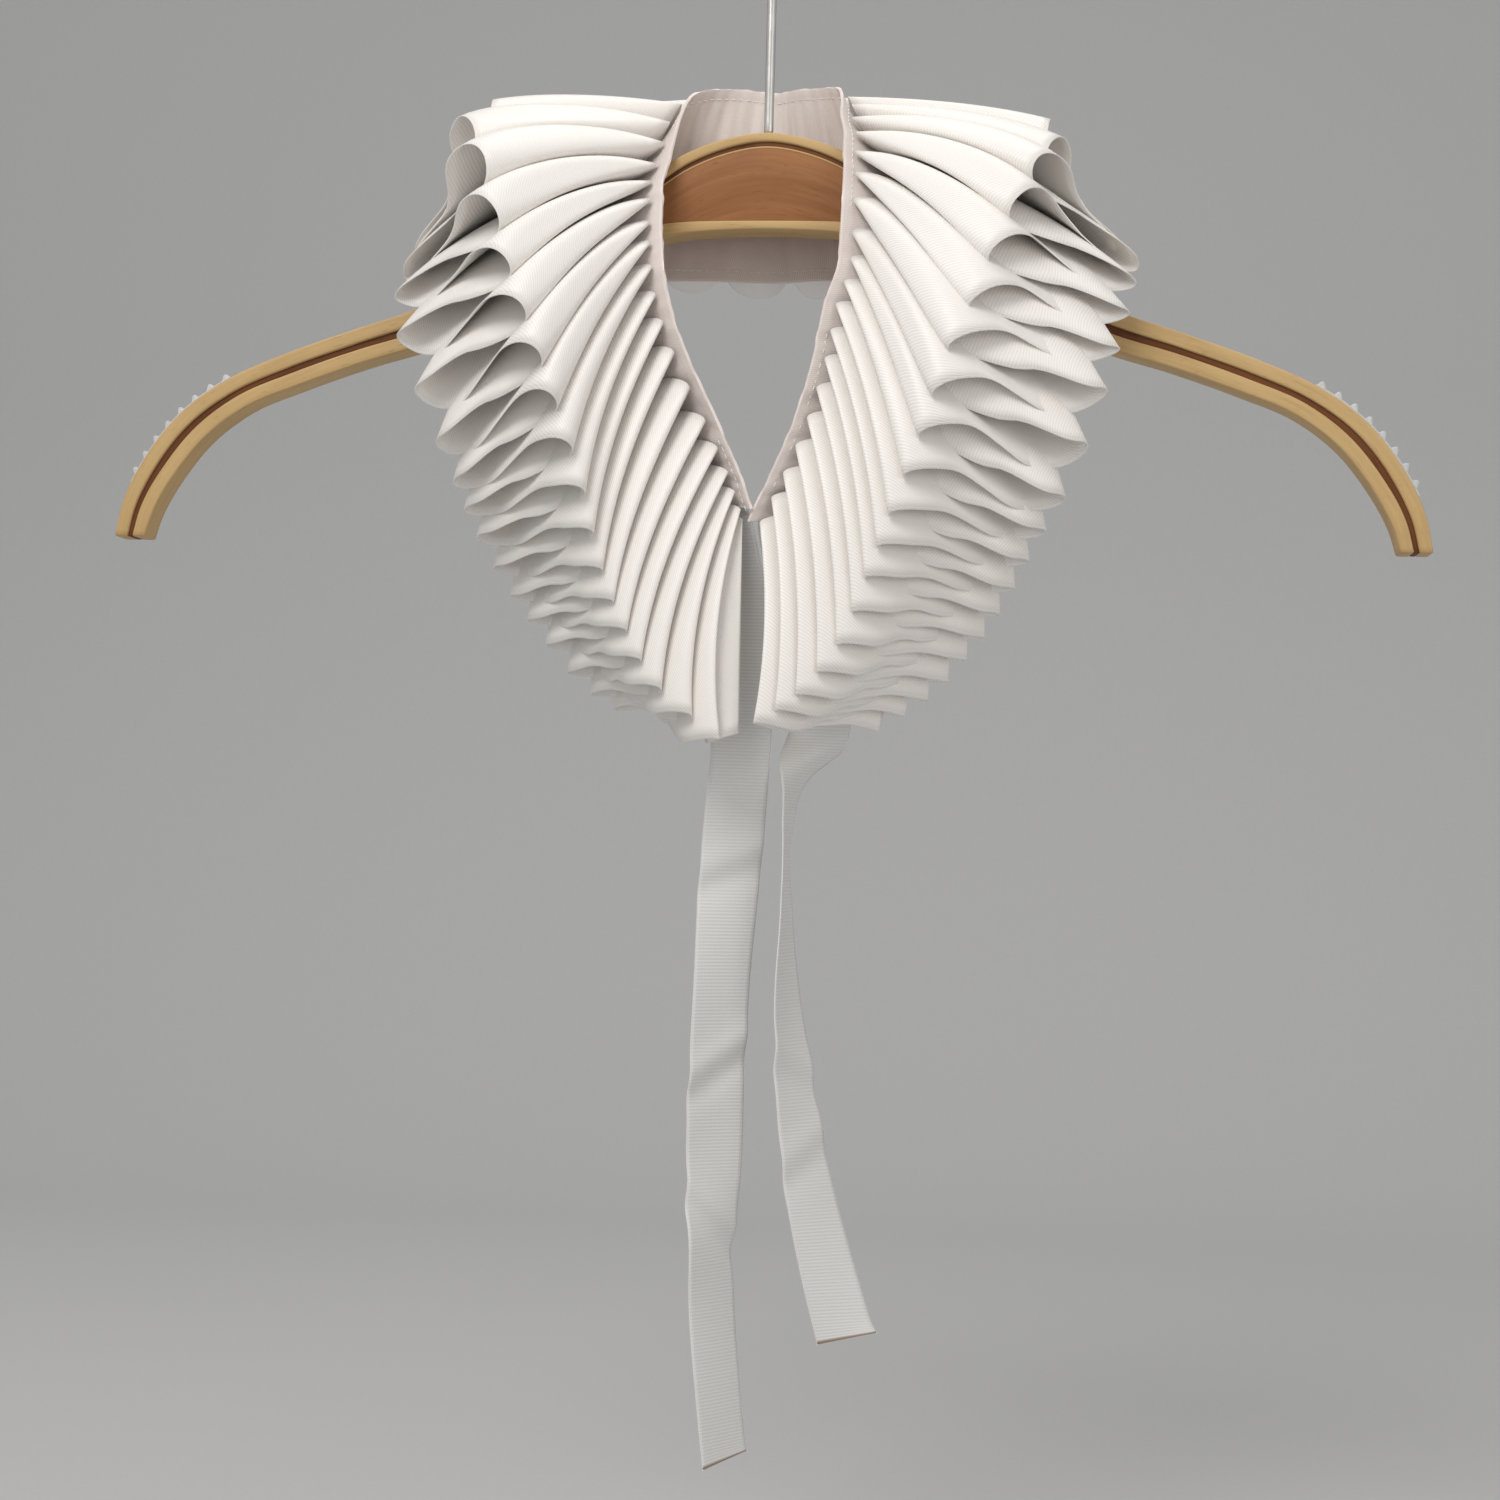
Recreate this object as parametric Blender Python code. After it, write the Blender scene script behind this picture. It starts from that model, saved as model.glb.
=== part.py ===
"""Ruffled collar draped on a wooden hanger. Metres, +Z up, +X to the viewer's right, +Y away from the viewer.

The origin is the inside top of the hanger's hook. The collar is a satin neckband that lies like a stole over
the bow, a pleated ribbon ruffle sewn to the band's outer face, and two flat ribbon ties at the front ends.
"""

from collections import namedtuple

import bpy
import numpy as np

MM = 0.001
SEAM = 0.3 * MM

# Hanger sizes
BOW_TOP = np.array([0.0, 0.0, -100.0]) * MM
BOW_DEPTH = 12.0 * MM
CORE_DEPTH = 10.0 * MM
PLY_CENTRE = 3.0 * MM
PLY_ARM = 4.9 * MM
ARM_BEGINS = 58.0 * MM
BOW_STATIONS = 41
WIRE_RADIUS = 1.6 * MM
HOOK_RADIUS = 19.0 * MM
HOOK_NECK_RADIUS = 8.0 * MM
HOOK_OPEN_END = 200.0
GRIP_WIDTH = 8.0 * MM
GRIP_THICKNESS = 0.9 * MM
GRIP_TEETH = 8
TOOTH_HEIGHT = 3.2 * MM
GRIP_FROM = 0.745
GRIP_TO = 0.93

# Cloth sizes
RUFFLE_WALL = 1.0 * MM
BAND_WALL = 1.2 * MM
BAND_FROM_RUFFLE = 1.25 * MM
BAND_BARE_EDGE = 5.0 * MM
BARE_HEM_FRONT = 1.5 * MM
BARE_HEM_BACK = 8.0 * MM
BACK_HALF_SETS = 5.0
TIE_WIDTH = 20.0 * MM
TIE_WALL = 1.0 * MM
SETS = 47
LEFT_FIRST = 0.87
RIGHT_FIRST = 0.95
BAND_FIRST = 1.0
BAND_STEP = 0.25
LIFT = 5.0 * MM
SEAM_IN_SETS = 0.0022
LEFT_SHOULDER = 17.75
RIGHT_SHOULDER = SETS - 19.75
LOOP_AT_NECK = 0.14
LOOP_AT_RIM = 0.17
SET_SAMPLES = (0.0, 0.09, 0.18, 0.32, 0.41)
STRIP_ROWS = (0.0, 0.25, 0.5, 0.75, 1.0)

# Half of the bow from its middle to the left tip: the top line and the bottom line, x and z in millimetres
BowRow = namedtuple("BowRow", "top_x top_z bottom_x bottom_z")
BOW = (
    BowRow(0, 0, 0, -32.6),
    BowRow(15, -2.4, 15, -33.0),
    BowRow(28, -7.4, 27, -34.0),
    BowRow(38, -13.6, 37, -35.6),
    BowRow(58, -27.0, 53, -39.5),
    BowRow(78, -40.2, 72, -50.6),
    BowRow(97, -51.0, 91, -61.6),
    BowRow(117, -59.6, 112, -71.0),
    BowRow(140, -67.2, 136, -78.4),
    BowRow(163, -75.4, 158, -86.2),
    BowRow(183, -84.4, 176, -93.8),
    BowRow(198, -95.4, 189.5, -104.0),
    BowRow(210, -110.6, 200.5, -118.0),
    BowRow(217.5, -126.0, 207, -130.0),
    BowRow(220, -138.0, 209.5, -138.0),
)

# One row for each section of the collar, in millimetres from the bow's top. Set counts the folds from the
# front. Edge and hem are the ruffle's two lines on the band, tip and heel the outer ends of its folds.
Row = namedtuple("Row", "set edge hem tip heel")
LEFT = (
    Row(1, (-2.5, -42, -131), (-37, -4.5, -124), (-5, -60, -205), (-39, -18, -197)),
    Row(3, (-7, -41, -119), (-42, -4, -112), (-25, -58, -189), (-55, -15, -187)),
    Row(5, (-15, -39, -102), (-50, -3, -97), (-36, -56, -171), (-70, -15, -170)),
    Row(7, (-26, -37, -80), (-62, -4, -81), (-44, -55, -152), (-82, -16, -154)),
    Row(9, (-33, -34, -61), (-74, -9, -68.5), (-49, -62, -128), (-91, -30, -136)),
    Row(11, (-36, -29, -43), (-81, -12, -55.5), (-58, -69, -100), (-97, -39, -119)),
    Row(12, (-37, -25, -35.5), (-82.5, -11, -47.5), (-63, -71, -86), (-102, -42, -106)),
    Row(13, (-37.5, -21, -27), (-83, -7, -39), (-69, -70, -71), (-109, -40, -88)),
    Row(14, (-38, -17, -20), (-82.5, 1, -31), (-75, -66, -56), (-116, -32, -70)),
    Row(15, (-37, -12, -13), (-79.5, 10, -25), (-80, -61, -39), (-119, -16, -55)),
    Row(16, (-36, -5, -4), (-73, 19, -23), (-87, -52, -18), (-121, 6, -46)),
    Row(17, (-35, 4, 5), (-66, 26, -27), (-96, -30, -2), (-120, 25, -40)),
    Row(18, (-32, 11, 13), (-56, 29, -31), (-95, 3, 14), (-110, 45, -33)),
    Row(19, (-27, 16, 16), (-46, 27, -34), (-90, 37, 16), (-93, 66, -31)),
    Row(20, (-21, 19.5, 17), (-36, 24, -36), (-72, 63, 16), (-71, 82, -31)),
    Row(21.5, (-11, 22.5, 17), (-18, 21, -37), (-40, 86, 16), (-38, 92, -33)),
    Row(23, (0, 23.5, 16), (0, 20, -38), (0, 96, 15), (0, 94, -35)),
)
RIGHT = (
    Row(1, (6, -42, -135), (47, -13, -129), (4, -64, -203), (47, -25, -198)),
    Row(3, (13, -41, -119), (56, -14, -114), (20, -63, -191), (61, -22, -187)),
    Row(5, (20, -39, -101), (63, -12, -97), (32, -61, -175), (73, -21, -173)),
    Row(7, (25, -37, -82), (69.5, -12, -83), (40, -60, -154), (83, -24, -158)),
    Row(9, (28, -34, -64), (74, -13, -68.5), (47, -61, -134), (92, -30, -141)),
    Row(11, (32, -29, -48), (78, -13, -54), (56, -62, -109), (103, -40, -121)),
    Row(12, (32, -25, -38.5), (79.5, -12, -45.5), (60, -63, -96), (109, -45, -104)),
    Row(13, (32, -21, -27), (80.5, -8.5, -36.2), (65, -62, -81), (114, -44, -87)),
    Row(14, (32, -16, -17), (79.5, 0, -29.2), (72, -58, -66), (117, -37, -74)),
    Row(15, (31.5, -12, -9), (77.5, 9, -25), (77.5, -53, -49), (119.5, -26, -61)),
    Row(16, (31, -6, -1), (72.5, 18, -23), (84, -46, -32), (121, -11, -50)),
    Row(17, (29, 2, 6), (65.5, 26, -24.5), (91, -36, -16), (121, 9, -42)),
    Row(18, (28, 9, 12), (56, 29.5, -30), (96, -12, -4), (114, 34, -36)),
    Row(19, (26, 14, 16), (46, 26, -34), (94, 12, 9), (98, 60, -31)),
    Row(20, (21.5, 17.5, 17), (37, 24, -35), (86, 38, 15), (78, 77, -31)),
    Row(21, (16.5, 20, 17), (28, 22, -36), (70, 62, 16), (60, 87, -31)),
    Row(22.5, (8, 22.5, 17), (14, 20.5, -37), (34, 87, 16), (30, 93, -33)),
)
# The free end of the strip at the front slit, on the band and at the rim
LEFT_END = ((-1, -41, -134), (1, -52, -200))

# Each tie from its sewn end down: the middle of the ribbon and the turn of its face in degrees, where 0 faces
# the viewer and 90 is edge-on
TieRow = namedtuple("TieRow", "x y z turn")
TIE_LEFT = (
    TieRow(-10, -31.5, -120, -48),
    TieRow(-7.1, -31.9, -128.5, -48),
    TieRow(-5, -31, -145, -25),
    TieRow(-1.5, -28.5, -170, 8),
    TieRow(-1, -28, -202, 22),
    TieRow(-3, -28, -240, 17),
    TieRow(-5, -29, -280, 33),
    TieRow(-6.3, -28, -310, 34),
    TieRow(-6.6, -27, -345, 36),
    TieRow(-6.4, -29, -364, 52),
    TieRow(-5.6, -28, -385, 51),
    TieRow(-3, -28, -412, 52),
    TieRow(-0.6, -27, -436, 53),
)
TIE_RIGHT = (
    TieRow(15.9, -32.7, -122, 35),
    TieRow(12.1, -33.2, -133.5, 35),
    TieRow(16, -27, -152, 20),
    TieRow(22, -15, -180, 4),
    TieRow(22, -14, -204, 6),
    TieRow(17, -18, -214, 62),
    TieRow(14.6, -24, -232, 86),
    TieRow(14.4, -25, -260, 84),
    TieRow(15.2, -25, -285, 72),
    TieRow(18.6, -25, -312, 58),
    TieRow(24.8, -25, -348, 44),
    TieRow(31.5, -25, -375, 32),
    TieRow(37.5, -25, -396, 24),
)

Finish = namedtuple("Finish", "name colour roughness metallic")
SATIN = Finish("neckband_satin", (0.83, 0.79, 0.77), 0.42, 0.0)
TAFFETA = Finish("ruffle_taffeta", (0.90, 0.88, 0.85), 0.5, 0.0)
RIBBON = Finish("tie_ribbon", (0.86, 0.86, 0.85), 0.4, 0.0)
BIRCH = Finish("light_birch", (0.72, 0.53, 0.30), 0.45, 0.0)
WALNUT = Finish("brown_ply", (0.42, 0.22, 0.11), 0.5, 0.0)
NICKEL = Finish("brushed_nickel", (0.62, 0.61, 0.59), 0.35, 1.0)
CLEAR = Finish("clear_plastic", (0.85, 0.86, 0.88), 0.2, 0.0)


def clear_scene():
    """Removes every object of the opening scene."""
    for obj in list(bpy.data.objects):
        bpy.data.objects.remove(obj, do_unlink=True)


def material(finish):
    """The Principled material of a finish, made once."""
    found = bpy.data.materials.get(finish.name)
    if found:
        return found
    made = bpy.data.materials.new(finish.name)
    made.use_nodes = True
    shader = made.node_tree.nodes["Principled BSDF"]
    shader.inputs["Base Color"].default_value = (*finish.colour, 1.0)
    shader.inputs["Roughness"].default_value = finish.roughness
    shader.inputs["Metallic"].default_value = finish.metallic
    return made


def mesh_object(name, points, faces, finish, parent):
    """A smooth-shaded mesh object under the collar's empty."""
    mesh = bpy.data.meshes.new(name)
    mesh.from_pydata([tuple(map(float, p)) for p in points], [], faces)
    mesh.validate()
    mesh.shade_smooth()
    mesh.materials.append(material(finish))
    obj = bpy.data.objects.new(name, mesh)
    bpy.context.scene.collection.objects.link(obj)
    obj.parent = parent
    return obj


def thicken(obj, wall):
    """Gives a sheet its wall, half to each side."""
    solidify = obj.modifiers.new("wall", "SOLIDIFY")
    solidify.solidify_mode = "NON_MANIFOLD"
    solidify.nonmanifold_thickness_mode = "FIXED"
    solidify.thickness = wall
    solidify.offset = 0.0
    return obj


def smooth_curve(knots, values, at):
    """Cubic curve through the values at uneven knots, with central tangents, read at the given places."""
    knots = np.asarray(knots, float)
    values = np.asarray(values, float)
    slopes = np.gradient(values, knots, axis=0)
    at = np.asarray(at, float)
    low = np.clip(np.searchsorted(knots, at) - 1, 0, len(knots) - 2)
    span = (knots[low + 1] - knots[low])[:, None]
    t = (at - knots[low])[:, None] / span
    inside = (
        (2 * t**3 - 3 * t**2 + 1) * values[low]
        + (t**3 - 2 * t**2 + t) * span * slopes[low]
        + (3 * t**2 - 2 * t**3) * values[low + 1]
        + (t**3 - t**2) * span * slopes[low + 1]
    )
    before = values[0] + (at - knots[0])[:, None] * slopes[0]
    after = values[-1] + (at - knots[-1])[:, None] * slopes[-1]
    inside = np.where(at[:, None] < knots[0], before, inside)
    return np.where(at[:, None] > knots[-1], after, inside)


def grid_faces(rings, across):
    """Quads of a sheet that has this many points across each ring."""
    faces = []
    for ring in range(rings - 1):
        for i in range(across - 1):
            first = ring * across + i
            faces.append((first, first + 1, first + across + 1, first + across))
    return faces


def unit(vectors):
    """Vectors scaled to length one."""
    return vectors / np.linalg.norm(vectors, axis=-1, keepdims=True)


class Collar:
    """The four guide lines of the ruffle, read at any place counted in sets round the neck."""

    def __init__(self):
        rows = list(LEFT) + [row._replace(set=SETS - row.set) for row in reversed(RIGHT)]
        self.sets = [row.set for row in rows]
        self.lines = {
            name: np.array([getattr(row, name) for row in rows]) * MM + BOW_TOP
            for name in ("edge", "hem", "tip", "heel")
        }

    def line(self, name, sets):
        """Points of one guide line."""
        return smooth_curve(self.sets, self.lines[name], sets)

    def normal(self, sets, towards_edge):
        """Outward normal of the band, on the line that lies this share of the way from the hem to the edge."""
        share = np.reshape(towards_edge, (-1, 1))
        step = 0.1

        def on_band(places):
            return share * self.line("edge", places) + (1 - share) * self.line("hem", places)

        across = self.line("hem", sets) - self.line("edge", sets)
        return unit(np.cross(on_band(sets + step) - on_band(sets - step), across))

    def strip(self, sets, row):
        """One line of the pleated strip, from the neck at row 0 to the rim at row 1."""
        turn = 2 * np.pi * sets
        share = 0.5 * (1 + np.cos(turn))[:, None]
        ends = []
        for loop, front, back in ((LOOP_AT_NECK, "edge", "hem"), (LOOP_AT_RIM, "tip", "heel")):
            opened = loop * (1 - row) + LOOP_AT_RIM * row
            place = sets + opened * np.sin(2 * turn)
            ends.append(share * self.line(front, place) + (1 - share) * self.line(back, place))
        lift = 4 * row * (1 - row) * LIFT * self.normal(sets, share)
        return ends[0] * (1 - row) + ends[1] * row + lift


def set_places(first, last):
    """Places along the strip from its first line to its last, closest where it folds back."""
    places = [first]
    for whole in range(int(np.floor(first)), int(np.ceil(last)) + 1):
        for half in (0.0, 0.5):
            places += [whole + half + s for s in SET_SAMPLES]
    places = sorted(p for p in places if first + 0.02 < p < last - 0.02)
    return np.array([first, *places, last])


def make_ruffle(collar, name, first, last, parent, end=None):
    """One length of the pleated ribbon between two places, with a flat end panel where one is given."""
    places = set_places(first, last)
    rows = np.stack([collar.strip(places, row) for row in STRIP_ROWS], axis=1)
    if end:
        neck, rim = np.array(end) * MM + BOW_TOP
        slit = np.array([neck + (rim - neck) * row for row in STRIP_ROWS])
        rows = np.concatenate([[slit, 0.5 * (slit + rows[0])], rows])
    faces = grid_faces(len(rows), len(STRIP_ROWS))
    sheet = mesh_object(name, rows.reshape(-1, 3), faces, TAFFETA, parent)
    return thicken(sheet, RUFFLE_WALL)


def make_neckband(collar, parent):
    """The straight band, folded along both edges, that the ruffle is sewn to."""
    places = np.arange(BAND_FIRST, SETS - BAND_FIRST + BAND_STEP / 2, BAND_STEP)
    edge, hem = collar.line("edge", places), collar.line("hem", places)
    across = unit(hem - edge)
    from_back = np.clip((np.abs(places - SETS / 2) - BACK_HALF_SETS) / 2, 0, 1)[:, None]
    bare_hem = BARE_HEM_BACK + (BARE_HEM_FRONT - BARE_HEM_BACK) * from_back
    lines = ((edge - across * BAND_BARE_EDGE, 1), (0.5 * (edge + hem), 0.5), (hem + across * bare_hem, 0))
    inward = -(BAND_FROM_RUFFLE + BAND_WALL / 2)
    columns = [line + inward * collar.normal(places, np.full(len(places), share)) for line, share in lines]
    points = np.stack(columns, axis=1).reshape(-1, 3)
    sheet = mesh_object("neckband", points, grid_faces(len(places), len(lines)), SATIN, parent)
    return thicken(sheet, BAND_WALL)


def make_tie(name, rows, parent, steps=34):
    """A flat ribbon that hangs from the band's front end."""
    knots = np.cumsum([0] + [abs(b.z - a.z) for a, b in zip(rows, rows[1:])])
    at = np.linspace(0, knots[-1], steps)
    middle = smooth_curve(knots, [(r.x, r.y, r.z) for r in rows], at) * MM + BOW_TOP
    turn = np.radians(smooth_curve(knots, [(r.turn,) for r in rows], at)[:, 0])
    half = np.stack([np.cos(turn), np.sin(turn), 0 * turn], axis=1) * TIE_WIDTH / 2
    points = np.stack([middle - half, middle, middle + half], axis=1).reshape(-1, 3)
    return thicken(mesh_object(name, points, grid_faces(steps, 3), RIBBON, parent), TIE_WALL)


def bow_lines():
    """The bow's top and bottom lines from the left tip to the right tip, and how far each is from the middle."""
    top = np.array([(row.top_x, row.top_z) for row in BOW]) * MM
    bottom = np.array([(row.bottom_x, row.bottom_z) for row in BOW]) * MM
    knots = np.concatenate([[0], np.cumsum(np.linalg.norm(np.diff(top, axis=0), axis=1))])
    at = np.linspace(0, knots[-1], BOW_STATIONS)
    # One mirrored row before the middle makes each line level there
    spread = np.concatenate([[-knots[1]], knots])
    halves = [smooth_curve(spread, np.concatenate([line[1:2] * (-1, 1), line]), at) for line in (top, bottom)]
    whole = [np.concatenate([half[:0:-1] * (-1, 1), half]) for half in halves]
    return whole[0], whole[1], np.concatenate([at[:0:-1], at])


def bar_between(name, upper, lower, depth, finish, parent):
    """A flat bar of even depth between an upper and a lower line in the XZ plane."""
    points = []
    for (ux, uz), (lx, lz) in zip(upper, lower):
        for x, z, y in ((ux, uz, -1), (lx, lz, -1), (lx, lz, 1), (ux, uz, 1)):
            points.append((x, y * depth / 2, z))
    points = np.array(points) + BOW_TOP
    faces = []
    for ring in range(len(upper) - 1):
        for i in range(4):
            first, following = ring * 4 + i, ring * 4 + (i + 1) % 4
            faces.append((first, following, following + 4, first + 4))
    last = len(points) - 4
    faces += [(3, 2, 1, 0), (last, last + 1, last + 2, last + 3)]
    return mesh_object(name, points, faces, finish, parent)


def make_bow(parent):
    """The laminated bow: a light ply above, a light ply below, and the brown core set back between them."""
    top, bottom, distance = bow_lines()
    through = bottom - top
    height = np.linalg.norm(through, axis=1)
    grown = np.clip(distance / ARM_BEGINS, 0, 1)
    ply = PLY_CENTRE + (PLY_ARM - PLY_CENTRE) * grown**2 * (3 - 2 * grown)
    ply = np.minimum(ply, height * 0.42)
    share = (ply / height)[:, None]
    gap = (SEAM / height)[:, None]
    bar_between("bow_upper", top, top + through * share, BOW_DEPTH, BIRCH, parent)
    bar_between("bow_lower", bottom - through * share, bottom, BOW_DEPTH, BIRCH, parent)
    core = (top + through * (share + gap), bottom - through * (share + gap))
    bar_between("bow_core", *core, CORE_DEPTH, WALNUT, parent)


def make_grip(name, side, parent):
    """A clear toothed strip on the outer curve of one arm."""
    top, _, distance = bow_lines()
    half = top[BOW_STATIONS - 1 :] * (side, 1)
    along = distance[BOW_STATIONS - 1 :]
    steps = GRIP_TEETH * 6 + 1
    at = np.linspace(GRIP_FROM, GRIP_TO, steps) * along[-1]
    base = smooth_curve(along, half, at)
    ahead = unit(np.gradient(base, axis=0))
    outward = np.stack([-ahead[:, 1], ahead[:, 0]], axis=1) * side
    lean = (np.arange(steps) % 6) / 6
    tooth = TOOTH_HEIGHT * np.clip(np.sin(np.pi * lean**1.6), 0, 1)
    low = base + outward * SEAM
    high = base + outward * (SEAM + GRIP_THICKNESS + tooth)[:, None]
    order = slice(None, None, side)
    bar_between(name, high[order], low[order], GRIP_WIDTH, CLEAR, parent)


def arc(centre, radius, degrees):
    """Points of a circle's arc in the XZ plane."""
    return [centre + radius * np.array([np.cos(a), np.sin(a)]) for a in np.radians(degrees)]


def make_hook(parent):
    """The bent wire: a straight stem from the bow, a short bend, and the round hook."""
    centre = np.array([0.0, WIRE_RADIUS - HOOK_RADIUS])
    reach = HOOK_RADIUS + HOOK_NECK_RADIUS
    neck = np.array([HOOK_NECK_RADIUS, centre[1] - np.sqrt(reach**2 - HOOK_NECK_RADIUS**2)])
    meet = np.degrees(np.arctan2(centre[1] - neck[1], centre[0] - neck[0]))
    stem = [(0.0, z) for z in np.linspace(BOW_TOP[2] + SEAM, neck[1], 6)[:-1]]
    route = [*stem, *arc(neck, HOOK_NECK_RADIUS, np.linspace(180, meet, 7))]
    route += arc(centre, HOOK_RADIUS, np.linspace(meet - 180, HOOK_OPEN_END, 27)[1:])
    curve = bpy.data.curves.new("hook", "CURVE")
    curve.dimensions = "3D"
    curve.bevel_depth = WIRE_RADIUS
    curve.bevel_resolution = 2
    curve.use_fill_caps = True
    spline = curve.splines.new("POLY")
    spline.points.add(len(route) - 1)
    for point, (x, z) in zip(spline.points, route):
        point.co = (x, 0.0, z, 1.0)
    curve.materials.append(material(NICKEL))
    obj = bpy.data.objects.new("hook", curve)
    bpy.context.scene.collection.objects.link(obj)
    obj.parent = parent


def main():
    """Builds the hanger and the collar on it."""
    clear_scene()
    root = bpy.data.objects.new("collar_on_hanger", None)
    bpy.context.scene.collection.objects.link(root)
    make_hook(root)
    make_bow(root)
    make_grip("grip_left", -1, root)
    make_grip("grip_right", 1, root)
    collar = Collar()
    make_neckband(collar, root)
    make_ruffle(collar, "ruffle_left", LEFT_FIRST, LEFT_SHOULDER - SEAM_IN_SETS, root, LEFT_END)
    make_ruffle(collar, "ruffle_back", LEFT_SHOULDER + SEAM_IN_SETS, RIGHT_SHOULDER - SEAM_IN_SETS, root)
    make_ruffle(collar, "ruffle_right", RIGHT_SHOULDER + SEAM_IN_SETS, SETS - RIGHT_FIRST, root)
    make_tie("tie_left", TIE_LEFT, root)
    make_tie("tie_right", TIE_RIGHT, root)


main()
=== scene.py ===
"""Looks of the ruffled collar on its wooden hanger.

Metres, +Z up, +X to the viewer's right, +Y away from the viewer. The origin is the inside top of the hook.
"""

import logging
import math
from collections.abc import Sequence
from dataclasses import dataclass
from enum import Enum
from typing import NamedTuple

import bpy
import numpy as np
from mathutils import Matrix, Vector


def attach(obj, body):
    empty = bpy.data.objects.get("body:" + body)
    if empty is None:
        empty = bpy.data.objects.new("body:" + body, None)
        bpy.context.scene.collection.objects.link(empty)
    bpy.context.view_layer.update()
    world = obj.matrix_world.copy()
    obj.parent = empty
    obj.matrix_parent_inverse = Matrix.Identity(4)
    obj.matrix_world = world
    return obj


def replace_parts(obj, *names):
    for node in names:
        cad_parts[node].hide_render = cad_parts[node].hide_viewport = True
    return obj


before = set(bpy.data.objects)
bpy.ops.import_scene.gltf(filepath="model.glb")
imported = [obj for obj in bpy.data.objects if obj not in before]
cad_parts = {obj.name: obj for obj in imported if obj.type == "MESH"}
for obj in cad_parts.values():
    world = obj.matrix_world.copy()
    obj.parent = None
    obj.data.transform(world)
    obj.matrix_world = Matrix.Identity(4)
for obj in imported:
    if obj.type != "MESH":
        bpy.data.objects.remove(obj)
log = logging.getLogger("collar")

MM = 0.001
SEAM = 0.3 * MM
BOW_TOP = np.array([0.0, 0.0, -100.0]) * MM

Triple = tuple[float, float, float]
Pair = tuple[float, float]


class BowRow(NamedTuple):
    """One section of half the bow in millimetres: its top line and its bottom line."""

    top_x: float
    top_z: float
    bottom_x: float
    bottom_z: float


class Row(NamedTuple):
    """One section of the collar in millimetres: two lines on the band, and the outer ends of the folds."""

    set: float
    edge: Triple
    hem: Triple
    tip: Triple
    heel: Triple


class TieRow(NamedTuple):
    """One place on a tie in millimetres, and the turn of its face in degrees."""

    x: float
    y: float
    z: float
    turn: float


class Crease(NamedTuple):
    """A crease across a tie: its height in millimetres, its slant and its depth in millimetres."""

    z: float
    slant: float
    depth: float


BOW = (
    BowRow(0, 0, 0, -32.6),
    BowRow(15, -2.4, 15, -33.0),
    BowRow(28, -7.4, 27, -34.0),
    BowRow(38, -13.6, 37, -35.6),
    BowRow(58, -27.0, 53, -39.5),
    BowRow(78, -40.2, 72, -50.6),
    BowRow(97, -51.0, 91, -61.6),
    BowRow(117, -59.6, 112, -71.0),
    BowRow(140, -67.2, 136, -78.4),
    BowRow(163, -75.4, 158, -86.2),
    BowRow(183, -84.4, 176, -93.8),
    BowRow(198, -95.4, 189.5, -104.0),
    BowRow(210, -110.6, 200.5, -118.0),
    BowRow(217.5, -126.0, 207, -130.0),
    BowRow(220, -138.0, 209.5, -138.0),
)
LEFT = (
    Row(1, (-2.5, -42, -131), (-37, -4.5, -124), (-5, -60, -205), (-39, -18, -197)),
    Row(3, (-7, -41, -119), (-42, -4, -112), (-25, -58, -189), (-55, -15, -187)),
    Row(5, (-15, -39, -102), (-50, -3, -97), (-36, -56, -171), (-70, -15, -170)),
    Row(7, (-26, -37, -80), (-62, -4, -81), (-44, -55, -152), (-82, -16, -154)),
    Row(9, (-33, -34, -61), (-74, -9, -68.5), (-49, -62, -128), (-91, -30, -136)),
    Row(11, (-36, -29, -43), (-81, -12, -55.5), (-58, -69, -100), (-97, -39, -119)),
    Row(12, (-37, -25, -35.5), (-82.5, -11, -47.5), (-63, -71, -86), (-102, -42, -106)),
    Row(13, (-37.5, -21, -27), (-83, -7, -39), (-69, -70, -71), (-109, -40, -88)),
    Row(14, (-38, -17, -20), (-82.5, 1, -31), (-75, -66, -56), (-116, -32, -70)),
    Row(15, (-37, -12, -13), (-79.5, 10, -25), (-80, -61, -39), (-119, -16, -55)),
    Row(16, (-36, -5, -4), (-73, 19, -23), (-87, -52, -18), (-121, 6, -46)),
    Row(17, (-35, 4, 5), (-66, 26, -27), (-96, -30, -2), (-120, 25, -40)),
    Row(18, (-32, 11, 13), (-56, 29, -31), (-95, 3, 14), (-110, 45, -33)),
    Row(19, (-27, 16, 16), (-46, 27, -34), (-90, 37, 16), (-93, 66, -31)),
    Row(20, (-21, 19.5, 17), (-36, 24, -36), (-72, 63, 16), (-71, 82, -31)),
    Row(21.5, (-11, 22.5, 17), (-18, 21, -37), (-40, 86, 16), (-38, 92, -33)),
    Row(23, (0, 23.5, 16), (0, 20, -38), (0, 96, 15), (0, 94, -35)),
)
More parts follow.
